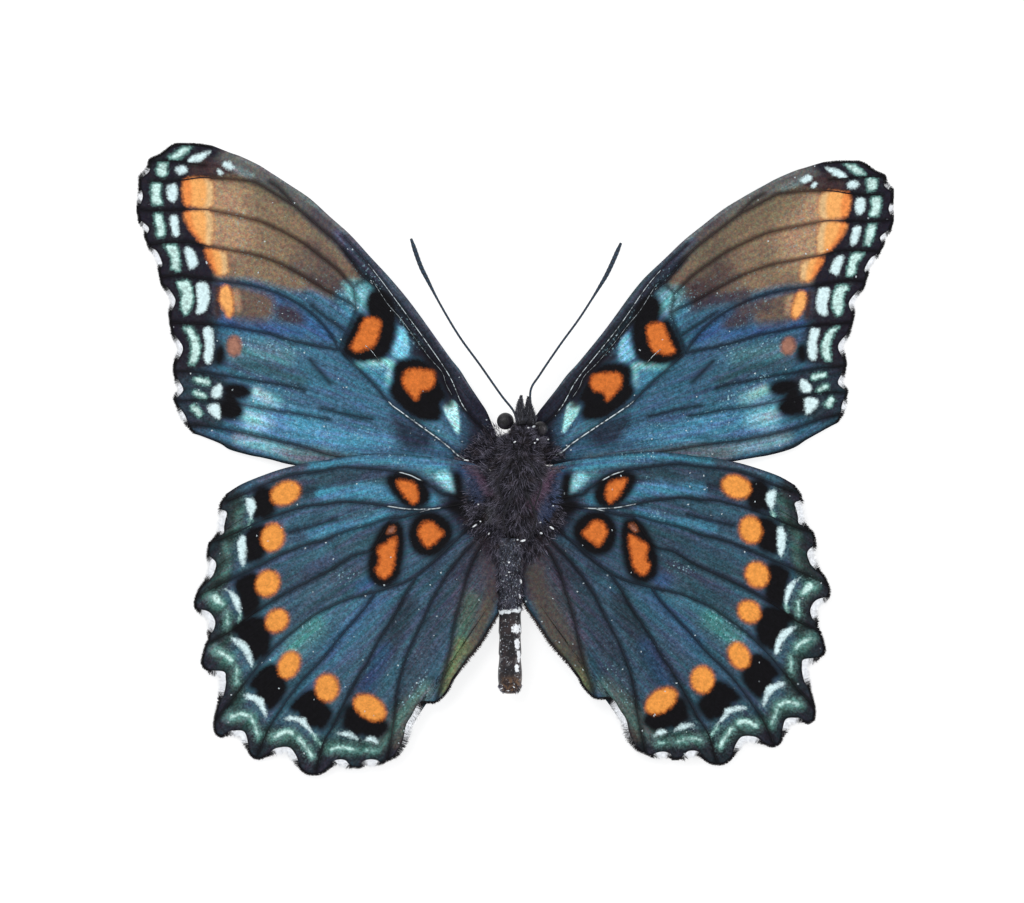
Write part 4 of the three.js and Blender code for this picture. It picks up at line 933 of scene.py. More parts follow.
            660, 241.5, 650, 235, 644),
        (0, 243, 695, 248.5, 692.8, 256, 695, 263.5, 698.3, 265.3, 705.7, 267.2, 712.3, 267.7, 717, 264, 716,
            260, 709, 254, 702, 246, 699),
        (0, 283, 718.5, 289.6, 715.5, 298, 716.5, 305.5, 717.9, 307.8, 723.5, 312, 730, 316.5, 736.5, 308, 731,
            301.7, 725, 295, 721.5, 288, 720.8),
        (0, 336.5, 733.3, 341, 731.4, 350.5, 731.4, 354.2, 733.7, 358.9, 739.3, 348.6, 737.5, 343, 736),
        (0, 364.5, 739.3, 367.3, 736.5, 373.8, 736, 378.5, 741.2, 377.5, 743.5, 367.3, 741.2),
    ],
    "rimLines": [pts(226, 493.9, 241, 484.5, 278.3, 470, 325, 460.3, 370, 453.6, 430, 457)],
    "glints": [(.8, 10, 372, 457, 402, 459), (.6, 14, 377, 486, 388, 494), (.5, 14, 371, 515, 360, 520),
               (.9, 16, 294, 646, 316, 626), (.6, 14, 340, 576, 352, 573),
               (.8, 14, 408, 703, 424, 676), (.15, 30, 300, 620, 380, 660, 420, 650)],
}

# Right wings: the left plan mirrored, turned a little and slightly narrowed. The right forewing was
# spread a little fuller: each row after the six numbers is a place, the pull there and its reach.
lays = {
    "left": {"forewing": (1, 0, 0, 0, 1, 0), "hindwing": (1, 0, 0, 0, 1, 0)},
    "right": {"forewing": (-0.9718, -0.0779, 1042.76, 0.0338, 0.8983, 27.03,
                           (822, 428, 16, -2, 38), (780, 438, 4, 9, 35), (735, 452, 0, 8, 35),
                           (648, 281, -3.4, -5.8, 42), (700, 240, -3.2, -5.6, 42), (750, 205, -2.6, -5, 42),
                           (805, 178, -1.4, -4.2, 42)),
              "hindwing": (-0.9842, 0.0367, 999.22, 0.0421, 0.9815, -9.17)},
}
wingBuild = {"thick": 0.07, "pleat": 0.05, "pleatReach": 11.0, "floorGap": 0.12, "rootInset": 2.5,
             "forewingRoot": 1.6, "hindwingRoot": 2.45, "lobeInset": 2.0, "darkFringe": 2.6,
             "veinHeight": 0.07, "veinSpread": 0.88}


# A point of the left plan on its own side: an even map, then soft round pulls that fade with distance.
def layPoints(xy, lay):
    a, b, c, d, e, f, *pulls = lay
    x, y = xy[..., 0], xy[..., 1]
    laid = np.stack([a * x + b * y + c, d * x + e * y + f], -1)
    shift = np.zeros_like(laid)
    for atX, atY, across, down, reach in pulls:
        near = np.exp(-((laid[..., 0] - atX) ** 2 + (laid[..., 1] - atY) ** 2) / reach ** 2)
        shift += near[..., None] * (across, down)
    return laid + shift


# How far out and back a hindwing's point lies: the length of the two shares.
def hindwingSpread(x, y):
    out = np.maximum(np.abs(x) - wingBuild["rootInset"], 0) / 30
    back = np.maximum(-3 - y, 0) / 34
    return np.hypot(out, back)


# Height of a wing's middle surface, in millimetres. The forewing sinks evenly from its root to its
# outermost point; the hindwing is a low dome that drops to the floor at its far margin.
def wingHeight(kind, reach):
    floorGap = wingBuild["floorGap"]

    def forewingHeight(x, y):
        along = np.clip((np.abs(x) - wingBuild["rootInset"]) / (reach - wingBuild["rootInset"]), 0, 1)
        return floorGap + (wingBuild["forewingRoot"] - floorGap) * (1 - along ** 1.2)

    def hindwingHeight(x, y):
        along = np.minimum(hindwingSpread(x, y) / reach, 1)
        return floorGap + (wingBuild["hindwingRoot"] - floorGap) * (1 - along ** 3)

    return forewingHeight if kind == "forewing" else hindwingHeight


# The reach that the height is measured by: that of the margin's farthest point.
def marginReach(kind, design, lay):
    xy = layPoints(design["margin"][:, :2], lay)
    x, y = toX(xy[:, 0]) / mm, toY(xy[:, 1]) / mm
    return np.abs(x).max() if kind == "forewing" else hindwingSpread(x, y).max()


# The margin as an even line with its outward normals and how white its fringe is.
def marginLine(design, count):
    line = curveThrough(design["margin"], 1, count=count)
    ahead = np.gradient(line[:, :2], axis=0)
    ahead /= np.linalg.norm(ahead, axis=1, keepdims=True)
    return line[:, :2], np.stack([-ahead[:, 1], ahead[:, 0]], 1), np.clip(line[:, 2], 0, 1)


# The membrane's grid: every row runs from the leading edge to the inner edge, and the rows are
# blended from the root line, the two long edges and the margin, closer together at the margin.
def wingGrid(design):
    rows, columns, crowd = design["rows"], design["columns"], design["crowd"]
    t = np.linspace(0, 1, rows + 1)
    u = t * (1 + crowd) - crowd * t ** 2
    even = np.linspace(0, 1, 401)
    costa = curveThrough(design["costa"], 1, count=400)
    inner = curveThrough(design["inner"], 1, count=400)
    margin, outward, white = marginLine(design, columns)
    inset = wingBuild["lobeInset"] * (1 - white)
    inset[[0, -1]] = 0
    margin = margin - outward * inset[:, None]
    costa = np.stack([np.interp(u, even, costa[:, k]) for k in (0, 1)], 1)[:, None]
    inner = np.stack([np.interp(u, even, inner[:, k]) for k in (0, 1)], 1)[:, None]
    v = np.linspace(0, 1, columns + 1)[None, :, None]
    u = u[:, None, None]
    root = costa[:1] * (1 - v) + inner[:1] * v
    corners = root * (1 - u) + (costa[-1:] * (1 - v) + inner[-1:] * v) * u
    flow = np.stack(np.broadcast_arrays(u[..., 0] * design["flow"][0], v[..., 0] * design["flow"][1]), -1)
    return costa * (1 - v) + inner * v + root * (1 - u) + margin[None] * u - corners, flow


# Paints the ground colours and the depth of every marking over the plan grid.
def paintWing(design, side, xy):
    linear = {name: paint(*rgb) for name, rgb in {**palette, **spotPalette}.items()}
    ground = np.tile(linear[design["ground"]], (len(xy), 1))
    warm = np.zeros(len(xy))
    washes = design["washes"] + (design["rightWashes"] if side == "right" else [])
    for name, strength, soft, wide, *numbers in washes:
        points = pts(*numbers)
        depth = streak(xy, points, wide, soft) if wide else blot(xy, points, soft)
        cover = strength * ease(depth, -soft, soft)
        ground += (linear[name] - ground) * cover[:, None]
        warm += ((name in warmColours) - warm) * cover
    # On the right wings the cool colours are painted darker by this share: painted shade on that side's blue;
    # warm colours keep their tone.
    if side == "right":
        ground *= 1 - design["rightSideShade"] * (1 - warm[:, None])
    spot = np.tile(linear["orange"], (len(xy), 1))
    orange = np.full(len(xy), -14.0)
    for name, points in design["orange"]:
        depth = blot(xy, points)
        spot += (linear[name] - spot) * ease(depth, -4, 1)[:, None]
        orange = np.maximum(orange, depth)
        if not name.startswith("bar"):
            glow = spotGlow["share"] * ease(depth, -4.5, 1)
            ground += (linear[name] * spotGlow["rust"] - ground) * glow[:, None]
            warm += (1 - warm) * glow
    fields = {"orange": orange, "warm": warm}
    for label in ("ink", "mint", "white"):
        fields[label] = np.full(len(xy), -14.0)
        for wide, *numbers in design[label]:
            points = pts(*numbers)
            depth = streak(xy, points, wide) if wide else blot(xy, points)
            fields[label] = np.maximum(fields[label], depth)
        fields[label] += design[label + "Grow"]
    fields["vein"] = np.full(len(xy), 14.0)
    for points, wide, taper in design["veins"]:
        fields["vein"] = np.minimum(fields["vein"], lineDistance(xy, curveThrough(points, 4)))
    fields["halo"] = design["halo"] * ease(np.maximum(fields["mint"], fields["white"]), -9, 0)
    fields["rim"] = lineDistance(xy, np.vstack([design["margin"][:, :2], design["inner"][::-1]]), 6.0)
    for line in design["rimLines"]:
        fields["rim"] = np.minimum(fields["rim"], lineDistance(xy, curveThrough(line, 5), 6.0) + 1.2)
    fields["glint"] = np.zeros(len(xy))
    for strength, wide, *numbers in design["glints"]:
        glow = strength * ease(wide - lineDistance(xy, curveThrough(pts(*numbers), 6), wide), 0, wide)
        fields["glint"] = np.maximum(fields["glint"], glow)
    return ground, spot, fields


# Both faces of a wing and its rim, as one closed sheet.
def buildMembrane(kind, side, design, grid, flow, painted):
    lay = lays[side][kind]
    ground, spot, fields = painted
    rows, columns = grid.shape[0] - 1, grid.shape[1] - 1
    xy = layPoints(grid.reshape(-1, 2), lay)
    x, y = toX(xy[:, 0]), toY(xy[:, 1])
    height = wingHeight(kind, marginReach(kind, design, lay))(x / mm, y / mm)
    height = height - wingBuild["pleat"] * ease(fields["vein"], 0, wingBuild["pleatReach"])
    half = wingBuild["thick"] / 2
    lower = np.stack([x, y, (height - half) * mm], 1)
    upper = np.stack([x, y, (height + half) * mm], 1)
    wide = columns + 1
    top = wide * (rows + 1)
    i, j = np.meshgrid(np.arange(rows), np.arange(columns), indexing="ij")
    a = (i * wide + j).ravel()
    quads = [np.stack([a, a + 1, a + wide + 1, a + wide], 1),
             np.stack([a, a + wide, a + wide + 1, a + 1], 1) + top]
    j, i = np.arange(columns), np.arange(rows)
    far, near, end = rows * wide + j, i * wide, i * wide + columns
    quads += [np.stack([j + 1, j, top + j, top + j + 1], 1),
              np.stack([far, far + 1, top + far + 1, top + far], 1),
              np.stack([near, near + wide, top + near + wide, top + near], 1),
              np.stack([end + wide, end, top + end, top + end + wide], 1)]
    faces = np.vstack(quads)
    if lay[0] < 0:
        faces = faces[:, ::-1]
    values = {label: np.tile(field, 2) for label, field in fields.items()}
    values["side"] = np.repeat([0.0, 1.0], len(x))
    shift = 0.0 if side == "left" else 40.0
    flow = np.concatenate([flow.reshape(-1, 2), np.full((len(x), 1), shift)], 1)
    colours = {"ground": np.tile(ground, (2, 1)), "spot": np.tile(spot, (2, 1))}
    makePiece(f"{kind}_{side}_membrane", np.vstack([lower, upper]), [faces], wingSkin, values, colours,
              {"flow": np.tile(flow, (2, 1))}, nodes=(f"{kind}_{side}",))


# The veins: flat oval tubes sunk half way into the membrane, narrowing outwards.
def buildVeins(kind, side, design):
    lay = lays[side][kind]
    heightAt = wingHeight(kind, marginReach(kind, design, lay))
    tubes, shines, tints = [], [], []
    for points, wide, taper in design["veins"]:
        flat = curveThrough(points, 2.2)
        xy = layPoints(flat, lay)
        x, y = toX(xy[:, 0]), toY(xy[:, 1])
        z = (heightAt(x / mm, y / mm) + wingBuild["thick"] / 2) * mm
        share = np.linspace(0, 1, len(x))
        half = (wide + (taper - wide) * share) * wingBuild["veinSpread"] * unit
        half[-1] *= 0.3
        high = wingBuild["veinHeight"] * mm * np.minimum(half / (1.1 * unit), 1.3)
        tubes.append(tubeMesh(np.stack([x, y, z], 1), half, high, 8))
        shine = np.zeros(len(flat))
        for line, near, strength in design["shine"]:
            gap = lineDistance(flat, curveThrough(line, 4))
            shine = np.maximum(shine, strength * ease(near - gap, 0, 1.5))
        crest = np.maximum(np.sin(np.arange(8) * np.pi / 4), 0) ** 8
        shines.append(np.concatenate([(shine[:, None] * crest).ravel(), [0.0, 0.0]]))
        ground, spot, fields = paintWing(design, side, flat)
        tint = ground * veinTone["share"]
        tint += (paint(*veinTone["ink"]) - tint) * ease(fields["ink"], -2, 2)[:, None]
        tints.append(np.concatenate([np.repeat(tint, 8, axis=0), tint[[0, -1]]]))
    vertices, quads, fans = joinTubes(tubes)
    makePiece(f"{kind}_{side}_veins", vertices, [quads, fans], stemMaterial,
              {"shine": np.concatenate(shines)}, {"tint": np.concatenate(tints)})


# The fringe: flat-lying strands along the margin, short and dark on the lobes, long and white in the
# notches between them. On a hindwing short dark hair goes on along the inner edge.
fringeLook = {"strands": 3800, "innerStrands": 1300, "innerLength": 3.4, "under": 0.8,
              "dark": paint(28, 26, 30), "pale": paint(250, 252, 255), "inner": paint(62, 56, 56)}


# Roots follow the margin, drawn in on the lobes; a strand's length and tint go from dark to white fringe
# by the margin's whiteness there.
def buildFringe(kind, side, design):
    lay = lays[side][kind]
    heightAt = wingHeight(kind, marginReach(kind, design, lay))
    line = np.pad(design["margin"], ((0, 0), (0, 1)))
    count = fringeLook["strands"]
    if kind == "hindwing":
        back = design["inner"][-2::-1]
        line = np.vstack([line, np.hstack([back, np.zeros((len(back), 1)), np.ones((len(back), 1))])])
        count += fringeLook["innerStrands"]
    line = curveThrough(line, 1, count=count)
    ahead = np.gradient(line[:, :2], axis=0)
    ahead /= np.linalg.norm(ahead, axis=1, keepdims=True)
    outward = np.stack([-ahead[:, 1], ahead[:, 0]], 1)
    white, inner = np.clip(line[:, 2], 0, 1), np.clip(line[:, 3], 0, 1)
    inset = wingBuild["lobeInset"] * (1 - white) * (1 - inner)
    margin = line[:, :2] - outward * (inset + fringeLook["under"])[:, None]
    count = len(margin)
    direction = outward + ahead * random.normal(0, 0.22, count)[:, None]
    length = wingBuild["darkFringe"] + (design["whiteFringe"] - wingBuild["darkFringe"]) * white ** 0.8
    length = length + (fringeLook["innerLength"] - length) * inner + fringeLook["under"]
    length = length * random.uniform(0.72, 1.0, count)
    length = length * np.where(inner > 0.5, random.uniform(0.4, 1.2, count), 1)
    start = layPoints(margin, lay)
    finish = layPoints(margin + direction * length[:, None], lay)
    x, y = toX(start[:, 0]), toY(start[:, 1])
    run = np.stack([toX(finish[:, 0]) - x, toY(finish[:, 1]) - y], 1)
    z = heightAt(x / mm, y / mm) * mm + random.uniform(-0.02, 0.03, count) * mm
    direction = np.concatenate([run, random.uniform(-0.04, 0.06, (count, 1)) * mm], 1)
    size = np.linalg.norm(direction, axis=1)
    bend = random.normal(0, 0.08, (count, 3)) * (1, 1, 0.1)
    width = random.uniform(0.05, 0.08, count) * mm
    vertices, quads, fans, share, owner = strandMesh(np.stack([x, y, z], 1), direction, bend, size, width,
                                                     flatUp=True)
    vertices = np.clip(vertices, np.array(cadLow) + 0.01 * mm, np.array(cadHigh) - 0.01 * mm)
    whiteness = ease(white + random.normal(0, 0.12, count), 0.35, 0.75)[:, None]
    tint = fringeLook["dark"] + (fringeLook["inner"] - fringeLook["dark"]) * inner[:, None]
    tint = tint + (fringeLook["pale"] - tint) * whiteness
    tint = np.minimum(tint[owner] * (0.95 + 0.1 * share)[:, None], 1)
    makePiece(f"{kind}_{side}_fringe", vertices, [quads, fans], fringeMaterial, None, {"tint": tint},
              smooth=False)


for kind, design in (("forewing", forewing), ("hindwing", hindwing)):
    grid, flow = wingGrid(design)
    for side in ("left", "right"):
        painted = paintWing(design, side, grid.reshape(-1, 2))
        buildMembrane(kind, side, design, grid, flow, painted)
        buildVeins(kind, side, design)
        buildFringe(kind, side, design)
    print("  painted", kind)


print("body")
# The hairy parts are ellipsoids: place and half size in the plan, height and half depth in millimetres.
# A core fills a share of each, and hair stands on another share. The comb says how far hair leans
# outwards and forwards; it grows where the surface's direction is above the lowest.
body = {
    "thorax": {"at": (519, 487), "half": (29, 57), "height": 2.55, "deep": 2.85, "net": (40, 48),
               "core": 0.87, "floor": 0.0, "nodes": ("thorax",), "hairBase": 0.87, "hairs": 15500,
               "length": (0.5, 1.3), "width": (0.035, 0.065), "comb": (1.2, -0.8), "lowest": -0.35},
    "head": {"at": (524, 432), "half": (13.5, 9.5), "height": 2.9, "deep": 1.25, "net": (28, 36),
             "core": 0.92, "floor": None, "nodes": ("head",), "hairBase": 0.9, "hairs": 2800,
             "length": (0.35, 0.8), "width": (0.03, 0.05), "comb": (1.4, 0.6), "lowest": -0.6},
    "collar": {"at": (522, 442), "half": (24, 10), "height": 2.6, "deep": 1.7, "net": (28, 40),
               "core": 0.87, "floor": None, "nodes": (), "hairBase": 0.87, "hairs": 3600,
               "length": (0.4, 0.9), "width": (0.035, 0.06), "comb": (1, 0.5), "lowest": -0.4},
}


# An ellipsoid as rings from pole to pole along the body, with the floor's flat on its underside.
def ellipsoidMesh(at, half, height, deep, rings, sides, share=1.0, floor=None):
    polar = np.linspace(0, np.pi, rings)[1:-1]
    turn = np.linspace(0, 2 * np.pi, sides + 1)[:-1]
    centre = np.array([toX(at[0]), toY(at[1]), height * mm])
    size = np.array([half[0] * unit, half[1] * unit, deep * mm]) * share
    wide, along = np.sin(polar)[:, None], np.cos(polar)[:, None]
    rounds = np.stack(np.broadcast_arrays(wide * np.cos(turn), along, wide * np.sin(turn)), -1) * size
    vertices = np.vstack([rounds.reshape(-1, 3), [[0, size[1], 0], [0, -size[1], 0]]]) + centre
    if floor is not None:
        vertices[:, 2] = np.maximum(vertices[:, 2], floor)
    quads, fans = ringFaces(len(polar), sides)
    return vertices, np.roll(quads, -1, axis=1), fans


# A felt of small scales: each scale's shade times a slow ripple, from dark to pale.
def scaledMaterial(name, dark, pale, size, roughness):
    material, tree, shader = newMaterial(name, Specular_IOR_Level=0.4)
    grain = useGroup(tree, grainGroup, Point=objectPoint(tree), Scale_Size=size)
    share = times(tree, grain.outputs["Cell"], grain.outputs["Ripple"])
    feed(tree, mixed(tree, ranged(tree, share, 0.1, 0.6), dark, pale), shader.inputs["Base Color"])
    feed(tree, ranged(tree, grain.outputs["Cell"], 0, 1, roughness - 0.12, roughness + 0.12, False),
         shader.inputs["Roughness"])
    bump(tree, share, 0.02 * mm, 0.5, shader)
    return material


coreMaterial = scaledMaterial("bodyFelt", paint(14, 13, 17), paint(34, 31, 40), 0.1 * mm, 0.8)
for name, part in body.items():
    vertices, quads, fans = ellipsoidMesh(part["at"], part["half"], part["height"], part["deep"],
                                          *part["net"], part["core"], part["floor"])
    makePiece(f"{name}_core", vertices, [quads, fans], coreMaterial, nodes=part["nodes"])


# Evenly spread directions over a sphere: a spiral that turns by the golden angle at each step.
def spiralDirections(count):
    k = np.arange(count) + 0.5
    along = 1 - 2 * k / count
    turn = k * math.pi * (3 - math.sqrt(5))
    wide = np.sqrt(1 - along ** 2)
    return np.stack([wide * np.cos(turn), along, wide * np.sin(turn)], 1)


# Soft clumps over the plan: six sine waves in turned directions, added; between -1 and 1.
def clumps(x, y, start):
    total = 0
    for k in range(6):
        turn, wave = start + 2.4 * k, 7 + 3.1 * k
        total = total + np.sin((x * math.cos(turn) + y * math.sin(turn)) * 2 * math.pi / wave + 1.7 * k)
    return total / 3.4


# The down's colours: near black, paler strand by strand and clump by clump, and the coloured patches
# beside the wing roots. Each patch has its colour, strength, reach and line in plan places.
downLook = {
    "dark": paint(26, 24, 32), "pale": paint(158, 154, 176), "brown": paint(96, 78, 74), "spread": 3.6,
    "patches": [
        (paint(160, 122, 156), 0.65, 7, pts(471, 468, 480, 476, 488, 489)),
        (paint(98, 118, 162), 0.7, 10, pts(463, 472, 474, 482, 480, 496)),
        (paint(172, 130, 164), 0.65, 7, pts(548, 476, 541, 490, 531, 506)),
        (paint(98, 122, 172), 0.75, 10, pts(556, 488, 550, 500, 543, 514)),
        (paint(166, 142, 158), 0.6, 6, pts(548, 471, 562, 464, 580, 459)),
        (paint(142, 136, 154), 0.55, 5, pts(455, 460, 468, 464, 478, 470)),
        (paint(132, 134, 136), 0.5, 5, pts(491, 508, 491, 520)),
        (paint(128, 128, 140), 0.45, 4, pts(497, 478, 498, 491)),
        (paint(118, 104, 124), 0.45, 4, pts(518, 494, 524, 510)),
        (paint(96, 78, 98), 0.5, 9, pts(486, 545, 488, 556)),
        (paint(100, 104, 112), 0.35, 8, pts(556, 548, 566, 562)),
    ],
}


# Tints of strands over the plan: dark to pale by chance and clumps, browner in some clumps, then each
# patch by its nearness.
def downTints(x, y):
    pick = random.random(len(x)) ** downLook["spread"]
    share = np.clip(pick + 0.3 * (clumps(x, y, 0.4) - 0.1), 0, 1)[:, None]
    tint = downLook["dark"] + (downLook["pale"] - downLook["dark"]) * share
    tint = tint + (downLook["brown"] - tint) * (0.3 * ease(clumps(x, y, 2.1), 0, 1))[:, None]
    xy = np.stack([x, y], 1)
    for colour, strength, reach, line in downLook["patches"]:
        near = strength * ease(reach - lineDistance(xy, line), 0, reach * 0.8) * random.uniform(0.35, 1, len(x))
        tint = tint + (colour - tint) * near[:, None]
    return tint


# Hair combed over an ellipsoid: each strand follows the comb's direction along the surface, turned a
# little by the clumps, and rises from it by a share of the normal.
def combedHair(name, part):
    way = spiralDirections(part["hairs"])
    way = way[way[:, 2] > part["lowest"]]
    n = len(way)
    at, half = part["at"], part["half"]
    centre = np.array([toX(at[0]), toY(at[1]), part["height"] * mm])
    size = np.array([half[0] * unit, half[1] * unit, part["deep"] * mm]) * part["hairBase"]
    roots = centre + way * size * 0.985
    normal = way / size
    normal /= np.linalg.norm(normal, axis=1, keepdims=True)
    planX, planY = at[0] + way[:, 0] * half[0], at[1] - way[:, 1] * half[1]
    outward, forward = part["comb"]
    flow = np.stack([way[:, 0] * outward, np.full(n, forward), np.zeros(n)], 1)
    turn = 0.75 * clumps(planX, planY, 1.3)
    flow = np.stack([flow[:, 0] * np.cos(turn) - flow[:, 1] * np.sin(turn),
                     flow[:, 0] * np.sin(turn) + flow[:, 1] * np.cos(turn), flow[:, 2]], 1)
    flow = flow - normal * (flow * normal).sum(1, keepdims=True)
    flow /= np.maximum(np.linalg.norm(flow, axis=1, keepdims=True), 1e-9)
    flow = flow + random.normal(0, 0.4, (n, 3))
    direction = normal * random.uniform(0.15, 0.75, (n, 1)) + flow
    bend = -normal * random.uniform(0.05, 0.3, (n, 1)) + random.normal(0, 0.12, (n, 3))
    length = random.uniform(*part["length"], n) * mm
    width = random.uniform(*part["width"], n) * mm
    vertices, quads, fans, along, owner = strandMesh(roots, direction, bend, length, width)
    vertices[:, 2] = np.clip(vertices[:, 2], 0.00001, cadHigh.z)
    tint = downTints(planX, planY)[owner] * (0.5 + 0.75 * along)[:, None]
    makePiece(name, vertices, [quads, fans], downMaterial, None, {"tint": tint})


for name in ("thorax", "collar", "head"):
    combedHair(f"{name}_hair", body[name])


# Down over the wing roots: roots scattered in an outline of the left plan, thinning at its edge. Each
# strand lies along the wing away from the thorax and rises a little.
rootDown = {
    "outline": pts(456, 458, 470, 448, 478, 438, 488, 428, 500, 430, 508, 470, 510, 548, 500, 560, 488, 554,
                   478, 540, 467, 526, 462, 508, 467, 488, 468, 472, 458, 465),
    "tries": 10500, "length": (0.35, 0.9), "width": (0.035, 0.06), "border": 465, "partsAt": 480,
}


# Places above the border stand on the forewing, the others on the hindwing, at that wing's height.
def buildRootDown(side):
    outline = curveThrough(rootDown["outline"], 2, closed=True)[:-1]
    spots = random.uniform(outline.min(0), outline.max(0), (rootDown["tries"], 2))
    spots = spots[random.random(len(spots)) < ease(blotDepth(spots, outline), -3, 8)]
    fore = spots[:, 1] < rootDown["border"]
    parts = []
    for kind, design, own in (("forewing", forewing, fore), ("hindwing", hindwing, ~fore)):
        lay = lays[side][kind]
        plane = layPoints(spots[own], lay)
        x, y = toX(plane[:, 0]), toY(plane[:, 1])
        z = wingHeight(kind, marginReach(kind, design, lay))(x / mm, y / mm) * mm
        parts.append(np.stack([x, y, z], 1))
    roots = np.vstack(parts)
    n = len(roots)
    planX, planY = toPlan(roots)
    away = np.stack([planX - body["thorax"]["at"][0], (rootDown["partsAt"] - planY) * 0.8, np.zeros(n)], 1)
    away /= np.linalg.norm(away, axis=1, keepdims=True)
    away += random.normal(0, 0.4, (n, 3)) * (1, 1, 0.2)
    away[:, 2] += random.uniform(0.1, 0.45, n)
    bend = np.array([0, 0, -0.3]) + random.normal(0, 0.12, (n, 3)) * (1, 1, 0.3)
    length = random.uniform(*rootDown["length"], n) * mm
    width = random.uniform(*rootDown["width"], n) * mm
    vertices, quads, fans, along, owner = strandMesh(roots, away, bend, length, width)
    tint = downTints(planX, planY)[owner] * (0.55 + 0.7 * along)[:, None]
    makePiece(f"wing_root_{side}_down", vertices, [quads, fans], downMaterial, None, {"tint": tint})


buildRootDown("left")
buildRootDown("right")


# Eyes: glossy domes with a fine six-sided net.
def eyeMaterial(name):
    material, tree, shader = newMaterial(name, Roughness=0.3, Specular_IOR_Level=0.45)
    facets = addNode(tree, "ShaderNodeTexVoronoi", feature="DISTANCE_TO_EDGE")
    point = objectPoint(tree)
    feed(tree, point, facets.inputs["Vector"])
    facets.inputs["Scale"].default_value = 14000
    net = ranged(tree, facets.outputs["Distance"], 0.02, 0.14)
    patch = ranged(tree, noise(tree, point, 1600, 2), 0.35, 0.65)
    colour = mixed(tree, patch, paint(16, 13, 17), paint(52, 47, 56))
    feed(tree, mixed(tree, net, paint(8, 7, 10), colour), shader.inputs["Base Color"])
    feed(tree, ranged(tree, net, 0, 1, 0.5, 0.26, False), shader.inputs["Roughness"])
    bump(tree, net, 0.01 * mm, 0.5, shader)
    return material


eyeFinish = eyeMaterial("eyeLens")
eyes = {"eye_left": ((505.4, 421.2), 8.6, 2.9), "eye_right": ((540.6, 429), 7.6, 2.7)}
for name, (at, radius, height) in eyes.items():
    vertices, quads, fans = ellipsoidMesh(at, (radius, radius), height, radius * unit / mm, 36, 48, 0.99)
    makePiece(f"{name}_dome", vertices, [quads, fans], eyeFinish, nodes=(name,))


# A path of plan points with a height in millimetres each.
def spacePath(points, step, count=None):
    line = curveThrough(triples(*points), step, count=count)
    return np.stack([toX(line[:, 0]), toY(line[:, 1]), line[:, 2] * mm], 1)


# Antennae: a ringed thread with a slim club over its last quarter.
antennaLook = {"shaft": 0.11, "club": 0.22, "joints": 46, "sides": 12, "dark": paint(14, 24, 36),
               "pale": paint(38, 66, 90)}


# Dark between the joints, paler on them where the grain is high.
def antennaMaterial(name, look):
    material, tree, shader = newMaterial(name, Roughness=0.5, Specular_IOR_Level=0.35)
    point = objectPoint(tree)
    grain = noise(tree, point, 7000, 2)
    joint = attribute(tree, "joint")
    share = times(tree, ranged(tree, grain, 0.3, 0.7), joint)
    feed(tree, mixed(tree, share, look["dark"], look["pale"]), shader.inputs["Base Color"])
    feed(tree, ranged(tree, grain, 0, 1, 0.4, 0.65, False), shader.inputs["Roughness"])
    bump(tree, grain, 0.01 * mm, 0.4, shader)
    return material


antennaFinish = antennaMaterial("antennaShaft", antennaLook)
antennae = {
    "antenna_left": (518, 428, 3.2, 516, 418, 3.2, 512.5, 409.5, 3, 501, 395, 2.8, 480, 365, 2.5,
                     459, 336, 2.1, 440, 304, 1.7, 427, 279, 1.3, 420, 264.5, 1.1, 411, 238.6, 0.8),
    "antenna_right": (529.5, 428, 2.7, 531.5, 415, 2.7, 530.5, 391, 2.75, 540, 374.5, 2.6, 560, 345, 2.3,
                      580, 317.5, 1.9, 600, 286, 1.5, 609, 270, 1.3, 621, 243, 0.9),
}
for name, points in antennae.items():
    path = spacePath(points, 1, count=antennaLook["joints"] * 5)
    share = np.linspace(0, 1, len(path))
    ring = 0.5 - 0.5 * np.cos(2 * np.pi * share * antennaLook["joints"])
    club = ease(share, 0.68, 0.86) * (1 - 0.75 * ease(share, 0.93, 1.0) ** 2)
    radius = antennaLook["shaft"] + (antennaLook["club"] - antennaLook["shaft"]) * club
    radius = radius * (0.9 + 0.1 * ring ** 0.4) * mm
    vertices, quads, fans = tubeMesh(path, radius, radius, antennaLook["sides"])
    joint = np.concatenate([np.repeat(ring ** 0.5, antennaLook["sides"]), [0.0, 0.0]])
    makePiece(f"{name}_thread", vertices, [quads, fans], antennaFinish, {"joint": joint},
              nodes=(name,))


